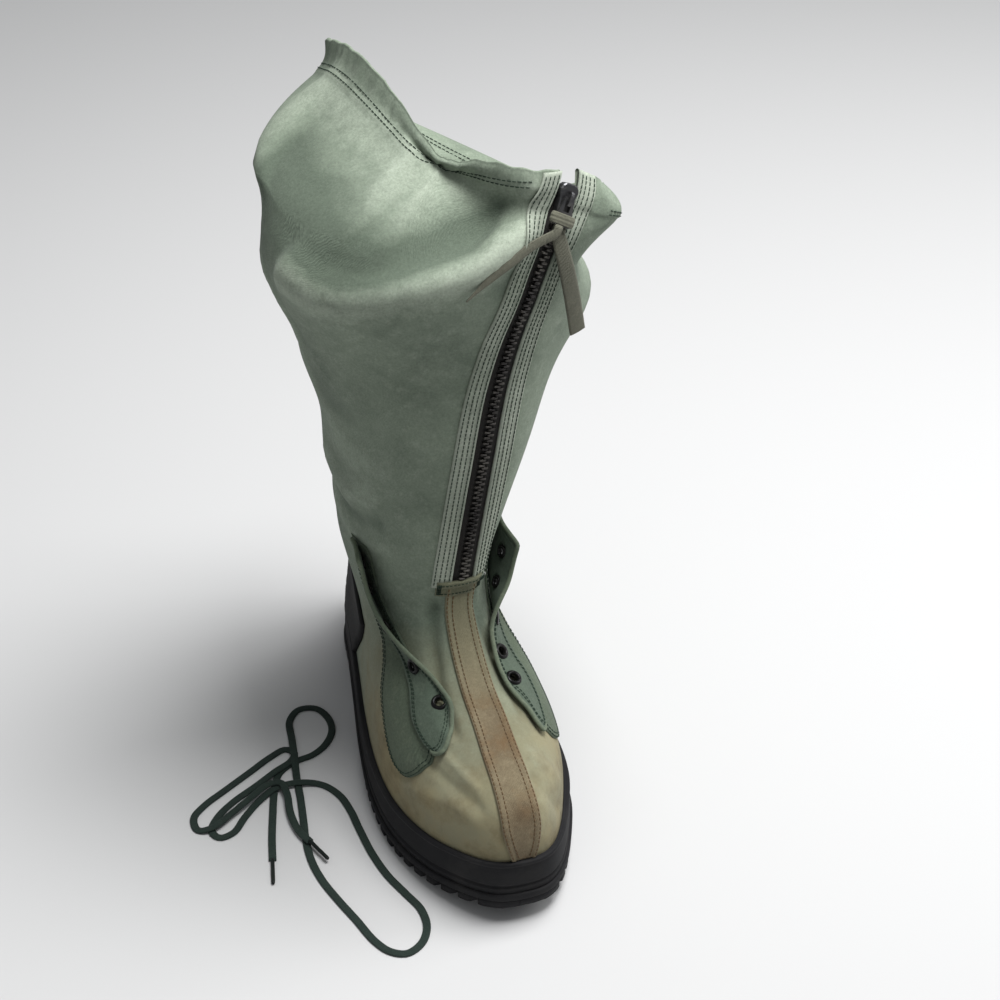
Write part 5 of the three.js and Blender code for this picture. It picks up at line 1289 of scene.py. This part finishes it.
def weave_group():
    """Plain weave: warp and weft threads are rounded ridges, and a chequer says which lies on top.
    Size is the width of a thread in metres."""
    tree, n, take, give = group("weave", {"Cloth": "vector", "Size": "number"},
                                {"Height": "number", "Thread": "number"})
    drift = n.add("TexNoise", {"Vector": take["Cloth"], "Scale": 260.0, "Detail": 3.0}).outputs["Color"]
    drift = n.add("VectorMath", {0: drift, 1: (0.0022, 0.0022, 0.0)}, operation="MULTIPLY").outputs[0]
    loose = n.add("VectorMath", {0: take["Cloth"], 1: drift}, operation="ADD").outputs[0]
    u = n.math("DIVIDE", n.axis(loose, 0), take["Size"])
    v = n.math("DIVIDE", n.axis(loose, 1), take["Size"])
    warp = n.math("ABSOLUTE", n.math("SINE", n.share(u, np.pi)))
    weft = n.math("ABSOLUTE", n.math("SINE", n.share(v, np.pi)))
    count = n.math("ADD", n.math("FLOOR", u), n.math("FLOOR", v))
    which = n.math("ABSOLUTE", n.math("MODULO", count, 2.0))
    top = n.share(warp, which)
    side = n.share(weft, n.math("SUBTRACT", 1.0, which))
    tree.links.new(n.math("ADD", top, side), give["Height"])
    slub = n.add("TexNoise", {"Vector": take["Cloth"], "Scale": 420.0, "Detail": 2.0})
    tree.links.new(slub.outputs["Fac"], give["Thread"])
    return tree


def wash_and_shade_group():
    """Washed cloth with painted light: pale where it is worn, and as a painted highlight on crease ridges;
    painted shade in crease hollows; broad blotches and fine specks. Ridge is how far the cloth stands out
    in a crease, in millimetres."""
    tree, n, take, give = group(
        "washed_and_shaded", {"Place": "vector", "Colour": "colour", "Pale": "colour", "Dark": "colour",
                   "Ridge": "number", "Blotch": "number"}, {"Colour": "colour", "Worn": "number"})
    broad = n.noise(take["Place"], 16.0, 4.0, 0.6)
    fine = n.noise(take["Place"], 130.0, 5.0, 0.7)
    speck = n.noise(take["Place"], 700.0, 3.0, 0.7)
    # Paler where worn at random, plus a painted highlight where crease ridges stand out.
    rubbed_and_lit = n.span(n.math("ADD", n.share(take["Ridge"], 0.11), n.share(fine, 0.7)), 0.35, 0.95)
    # Painted shade where creases sink in, mixed with broad random tone.
    hollow_shade_and_tone = n.span(n.math("ADD", n.share(take["Ridge"], -0.16), broad), 0.55, 1.0)
    blotch = n.share(n.span(broad, 0.38, 0.66), take["Blotch"])
    colour = n.blend(blotch, take["Colour"], take["Dark"])
    colour = n.blend(n.share(hollow_shade_and_tone, 0.8), colour, take["Dark"])
    colour = n.blend(n.share(rubbed_and_lit, 0.55), colour, take["Pale"])
    tree.links.new(n.shaded(colour, n.span(speck, 0.3, 0.7, 0.82, 1.14)), give["Colour"])
    tree.links.new(rubbed_and_lit, give["Worn"])
    return tree


def scuff_group():
    """Scuffs on rubber and enamel: fine stretched scratches and dusty patches."""
    tree, n, take, give = group("scuffed", {"Place": "vector", "Amount": "number"},
                                {"Mask": "number", "Height": "number"})
    turned = n.add("Mapping", {"Vector": take["Place"], "Scale": (1, 1, 5)}).outputs[0]
    scratch = n.span(n.noise(turned, 240.0, 6.0, 0.75), 0.55, 0.8)
    dust = n.span(n.noise(take["Place"], 30.0, 5.0, 0.65), 0.45, 0.75)
    both = n.math("ADD", n.share(scratch, 0.5), n.share(dust, 0.6))
    tree.links.new(n.share(both, take["Amount"]), give["Mask"])
    tree.links.new(n.noise(take["Place"], 700.0, 3.0, 0.6), give["Height"])
    return tree


WEAVE = weave_group()
WASH_AND_SHADE = wash_and_shade_group()
SCUFFED = scuff_group()


def start_material(name, slots):
    """An empty material with a Principled shader whose own slots are set."""
    material = bpy.data.materials.new(name)
    material.use_nodes = True
    tree = material.node_tree
    tree.nodes.clear()
    n = Nodes(tree)
    shader = n.add("BsdfPrincipled", slots)
    out = n.add("OutputMaterial")
    tree.links.new(shader.outputs[0], out.inputs[0])
    return material, n, shader


def rgb(red, green, blue):
    """A colour measured as sRGB shares of 255, turned to linear light."""
    share = np.array([red, green, blue]) / 255
    linear = np.where(share <= 0.04045, share / 12.92, ((share + 0.055) / 1.055) ** 2.4)
    return (*linear.tolist(), 1.0)


VAMP_TAN = rgb(150, 143, 114)
VAMP_YELLOW = rgb(160, 145, 105)
VAMP_EARTH = rgb(112, 98, 70)
VAMP_EDGE = rgb(96, 88, 64)
CANVAS_INSIDE = rgb(150, 155, 138)
# Painted shade for the patch round each eyelet, seen through the flap's holes.
EYELET_HOLE_SHADE = rgb(26, 28, 26)
STRIP_GREEN = rgb(112, 114, 92)
STRIP_SPOT = rgb(74, 52, 30)
STRIP_BROWN = rgb(112, 84, 52)
SPOT_PLACE = (0.010, -0.146, 0.075)
WEAVE_DEEP = 0.00025
WRINKLE_DEEP = 0.003
SLUB_DEEP = 0.0002


def cloth_material(name, colour, pale, dark, thread, blotch=0.5, bump=0.5, rough=0.9, stain_and_shade=None):
    """Woven cloth with its wash-faded colour, painted shade between the threads and in crease hollows, a
    painted highlight on crease ridges, its thread's width in metres and soft wrinkles. An optional last
    step works out the last colour from the place and the colour so far: real stains on most pieces, and
    painted shade round the eyelets on the patch."""
    material, n, shader = start_material(name, {"Sheen Weight": 0.05, "Sheen Roughness": 0.6,
                                                "Specular IOR Level": 0.25})
    coords = n.add("TexCoord")
    place = coords.outputs["Object"]
    # Wash colour with painted shade in crease hollows and a painted highlight on crease ridges.
    washed_and_shaded = n.add("Group", {"Place": place, "Ridge": n.read("ridge"), "Blotch": blotch, "Colour": colour,
                             "Pale": pale, "Dark": dark}, node_tree=WASH_AND_SHADE)
    weave = n.add("Group", {"Cloth": coords.outputs["UV"], "Size": thread}, node_tree=WEAVE)
    # Painted shade between the threads, where the weave lies low, and a slight painted highlight on thread
    # tops.
    tint = n.shaded(washed_and_shaded.outputs["Colour"], n.span(weave.outputs["Height"], 0.1, 1.0, 0.86, 1.05))
    if stain_and_shade:
        tint = stain_and_shade(n, place, tint)
    n.link(tint, shader, "Base Color")
    n.link(n.span(washed_and_shaded.outputs["Worn"], 0, 1, rough - 0.06, rough + 0.04), shader, "Roughness")
    wrinkle = n.noise(place, 48.0, 6.0, 0.62)
    height = n.math("ADD", n.share(weave.outputs["Height"], WEAVE_DEEP), n.share(wrinkle, WRINKLE_DEEP))
    height = n.math("ADD", height, n.share(weave.outputs["Thread"], SLUB_DEEP))
    n.link(n.bump(height, bump, 1.0), shader, "Normal")
    return material


def vamp_stain(n, place, colour):
    """The foot of the canvas is browner than the shaft, more so towards the toe and above the
    rubber, with earthy stains; the inside of the collar is paler."""
    height = n.axis(place, 2)
    patchy = n.noise(place, 26.0, 5.0, 0.62)
    grime = n.noise(place, 55.0, 6.0, 0.7)
    low = n.span(n.math("ADD", height, n.share(patchy, 0.05)), 0.155, 0.09)
    front = n.span(n.axis(place, 1), 0.06, -0.04)
    tan = n.share(low, front)
    colour = n.blend(n.share(tan, 0.8), colour, VAMP_TAN)
    colour = n.blend(n.share(tan, n.span(patchy, 0.42, 0.62), 0.6), colour, VAMP_YELLOW)
    colour = n.blend(n.share(tan, n.span(grime, 0.46, 0.7), 0.7), colour, VAMP_EARTH)
    colour = n.blend(n.share(n.span(height, 0.075, 0.045), front, 0.35), colour, VAMP_EDGE)
    return n.blend(n.share(n.read("inside"), 0.5), colour, CANVAS_INSIDE)


def patch_eyelet_shade(n, place, colour):
    """Painted shade: the patch is painted near black round the eyelets of the flap above it."""
    return n.blend(n.share(n.read("eyelet_shade"), 0.9), colour, EYELET_HOLE_SHADE)


def strip_stain(n, place, colour):
    """The band over the instep is greener near the zip, stained brown towards the toe and has one
    dark spot near its end."""
    y = n.axis(place, 1)
    patchy = n.noise(place, 34.0, 5.0, 0.65)
    green = n.span(n.math("ADD", y, n.share(patchy, 0.05)), -0.06, 0.0)
    colour = n.blend(n.share(green, 0.75), colour, STRIP_GREEN)
    spot = n.add("VectorMath", {0: place, 1: SPOT_PLACE}, operation="DISTANCE").outputs["Value"]
    spot = n.span(n.math("ADD", spot, n.share(patchy, 0.02)), 0.021, 0.011)
    colour = n.blend(n.share(spot, 0.6), colour, STRIP_SPOT)
    brown = n.share(n.span(patchy, 0.48, 0.68), n.span(y, -0.03, -0.08), 0.65)
    return n.blend(brown, colour, STRIP_BROWN)


def scuffed_material(name, colour, dust, rough, amount, rougher, slots, raised=0.0):
    """Rubber, metal or enamel with scuffs and dust on it; raised is the strength of its grain."""
    material, n, shader = start_material(name, slots)
    place = n.add("TexCoord").outputs["Object"]
    worn = n.add("Group", {"Place": place, "Amount": amount}, node_tree=SCUFFED)
    n.link(n.blend(worn.outputs["Mask"], colour, dust), shader, "Base Color")
    n.link(n.span(worn.outputs["Mask"], 0, 0.6, rough, rough + rougher), shader, "Roughness")
    if raised:
        n.link(n.bump(worn.outputs["Height"], raised, 0.0003), shader, "Normal")
    return material


def rubber_material(name, colour, rough, scuff):
    return scuffed_material(name, colour, rgb(96, 94, 90), rough, scuff, 0.2,
                            {"Specular IOR Level": 0.15}, raised=0.25)


def metal_material(name, colour, rough):
    return scuffed_material(name, colour, rgb(150, 146, 138), rough, 0.8, 0.3, {"Metallic": 0.85})


CLOTHS = {
    "shaft": cloth_material("washed_canvas", rgb(134, 146, 129), rgb(200, 210, 192), rgb(88, 100, 86), 0.0006,
                            stain_and_shade=vamp_stain),
    "facing": cloth_material("facing_canvas", rgb(172, 180, 165), rgb(214, 218, 206), rgb(112, 122, 106),
                             0.0006, bump=0.4),
    "strip": cloth_material("tan_canvas", rgb(134, 123, 98), rgb(190, 178, 148), rgb(100, 86, 66), 0.0008,
                            blotch=0.6, stain_and_shade=strip_stain),
    "band": cloth_material("band_canvas", rgb(112, 114, 92), rgb(160, 158, 132), rgb(78, 80, 64), 0.0008),
    "patch": cloth_material("dark_canvas", rgb(92, 104, 86), rgb(146, 152, 128), rgb(64, 74, 62), 0.0007,
                            stain_and_shade=patch_eyelet_shade),
    "flap": cloth_material("flap_canvas", rgb(88, 101, 87), rgb(134, 144, 124), rgb(52, 64, 54), 0.0007),
    "binding": cloth_material("worn_binding", rgb(98, 108, 90), rgb(166, 170, 146), rgb(62, 72, 60), 0.0008),
    "ribbon": cloth_material("grosgrain", rgb(106, 106, 92), rgb(140, 138, 120), rgb(74, 74, 64), 0.0009,
                             blotch=0.3),
    "lace": cloth_material("lace_braid", rgb(38, 52, 46), rgb(70, 84, 74), rgb(22, 32, 28), 0.0009,
                           blotch=0.3),
}
TAPE = cloth_material("zip_tape", rgb(40, 38, 36), rgb(66, 62, 56), rgb(26, 24, 22), 0.0006, blotch=0.3)
FELT = cloth_material("felt", rgb(150, 150, 140), rgb(176, 174, 164), rgb(118, 118, 110), 0.0015)
RUBBER = rubber_material("black_rubber", rgb(30, 30, 32), 0.72, 0.22)
RUBBER_CUP = rubber_material("cup_rubber", rgb(17, 17, 18), 0.74, 0.1)
TEETH = metal_material("tooth_metal", rgb(44, 42, 42), 0.36)
METAL = metal_material("slider_metal", rgb(84, 84, 86), 0.38)
ENAMEL = rubber_material("eyelet_enamel", rgb(18, 18, 18), 0.22, 0.25)
TIP = rubber_material("lace_tip", rgb(24, 30, 28), 0.3, 0.2)
GREEN_THREAD = rubber_material("green_thread", rgb(44, 58, 48), 0.8, 0.2)
BROWN_THREAD = rubber_material("brown_thread", rgb(92, 72, 50), 0.8, 0.4)

# The pieces
upper_canvas()
foxing_wall()
outsole_rubber()
heel_cup()
felt_insole()
front_strip()
bar_band()
facings()
zip_tapes()
zip_teeth()
fly_shield()
lace_flaps()
metal_parts()
ribbons()
lace_and_tips()
casing_stitches()
make_stitches("green", GREEN_THREAD)
make_stitches("brown", BROWN_THREAD)


# Floor, light and camera
FLOOR_CORNERS = [(-6, -4, 0), (6, -4, 0), (6, 9, 0), (-6, 9, 0)]
LAMPS = [
    # name, place, width and power
    ("top_light", (0.4, 0.0, 1.7), 0.8, 36.0),
    ("side_light", (1.7, 0.0, 1.1), 0.9, 13.0),
]
LAMP_AIM = (0, 0, 0.15)


def floor_and_light():
    """A pale floor, a dim sky and two soft lamps that look at the middle of the boot."""
    mesh = bpy.data.meshes.new("floor")
    mesh.from_pydata(FLOOR_CORNERS, [], [(0, 1, 2, 3)])
    floor = bpy.data.objects.new("floor", mesh)
    scene.collection.objects.link(floor)
    pale = start_material("pale_floor", {"Roughness": 0.9, "Base Color": (0.6, 0.6, 0.6, 1)})[0]
    mesh.materials.append(pale)
    world = bpy.data.worlds.new("studio")
    scene.world = world
    world.use_nodes = True
    sky = world.node_tree.nodes["Background"]
    sky.inputs["Color"].default_value = (0.86, 0.88, 0.9, 1)
    sky.inputs["Strength"].default_value = 0.3
    for name, place, size, power in LAMPS:
        light = bpy.data.lights.new(name, "AREA")
        light.size = size
        light.energy = power
        lamp = bpy.data.objects.new(name, light)
        lamp.location = place
        lamp.rotation_euler = (Vector(LAMP_AIM) - Vector(place)).to_track_quat("-Z", "Y").to_euler()
        scene.collection.objects.link(lamp)


def photo_camera():
    """A camera at the photograph's place, as fitted to the sole and the lace."""
    camera = bpy.data.cameras.new("photo_camera")
    camera.sensor_width = SENSOR
    camera.lens = FOCAL_PIXELS * SENSOR / FRAME_PIXELS
    camera.clip_end = 50
    thing = bpy.data.objects.new("photo_camera", camera)
    azimuth = np.radians(CAMERA_AZIMUTH)
    elevation = np.radians(CAMERA_ELEVATION)
    back = np.array([np.sin(azimuth) * np.cos(elevation), -np.cos(azimuth) * np.cos(elevation),
                     np.sin(elevation)])
    thing.location = (np.array(CAMERA_TARGET) + back * CAMERA_DISTANCE) * MM
    thing.rotation_euler = Vector(-back).to_track_quat("-Z", "Y").to_euler()
    scene.collection.objects.link(thing)
    scene.camera = thing


floor_and_light()
photo_camera()
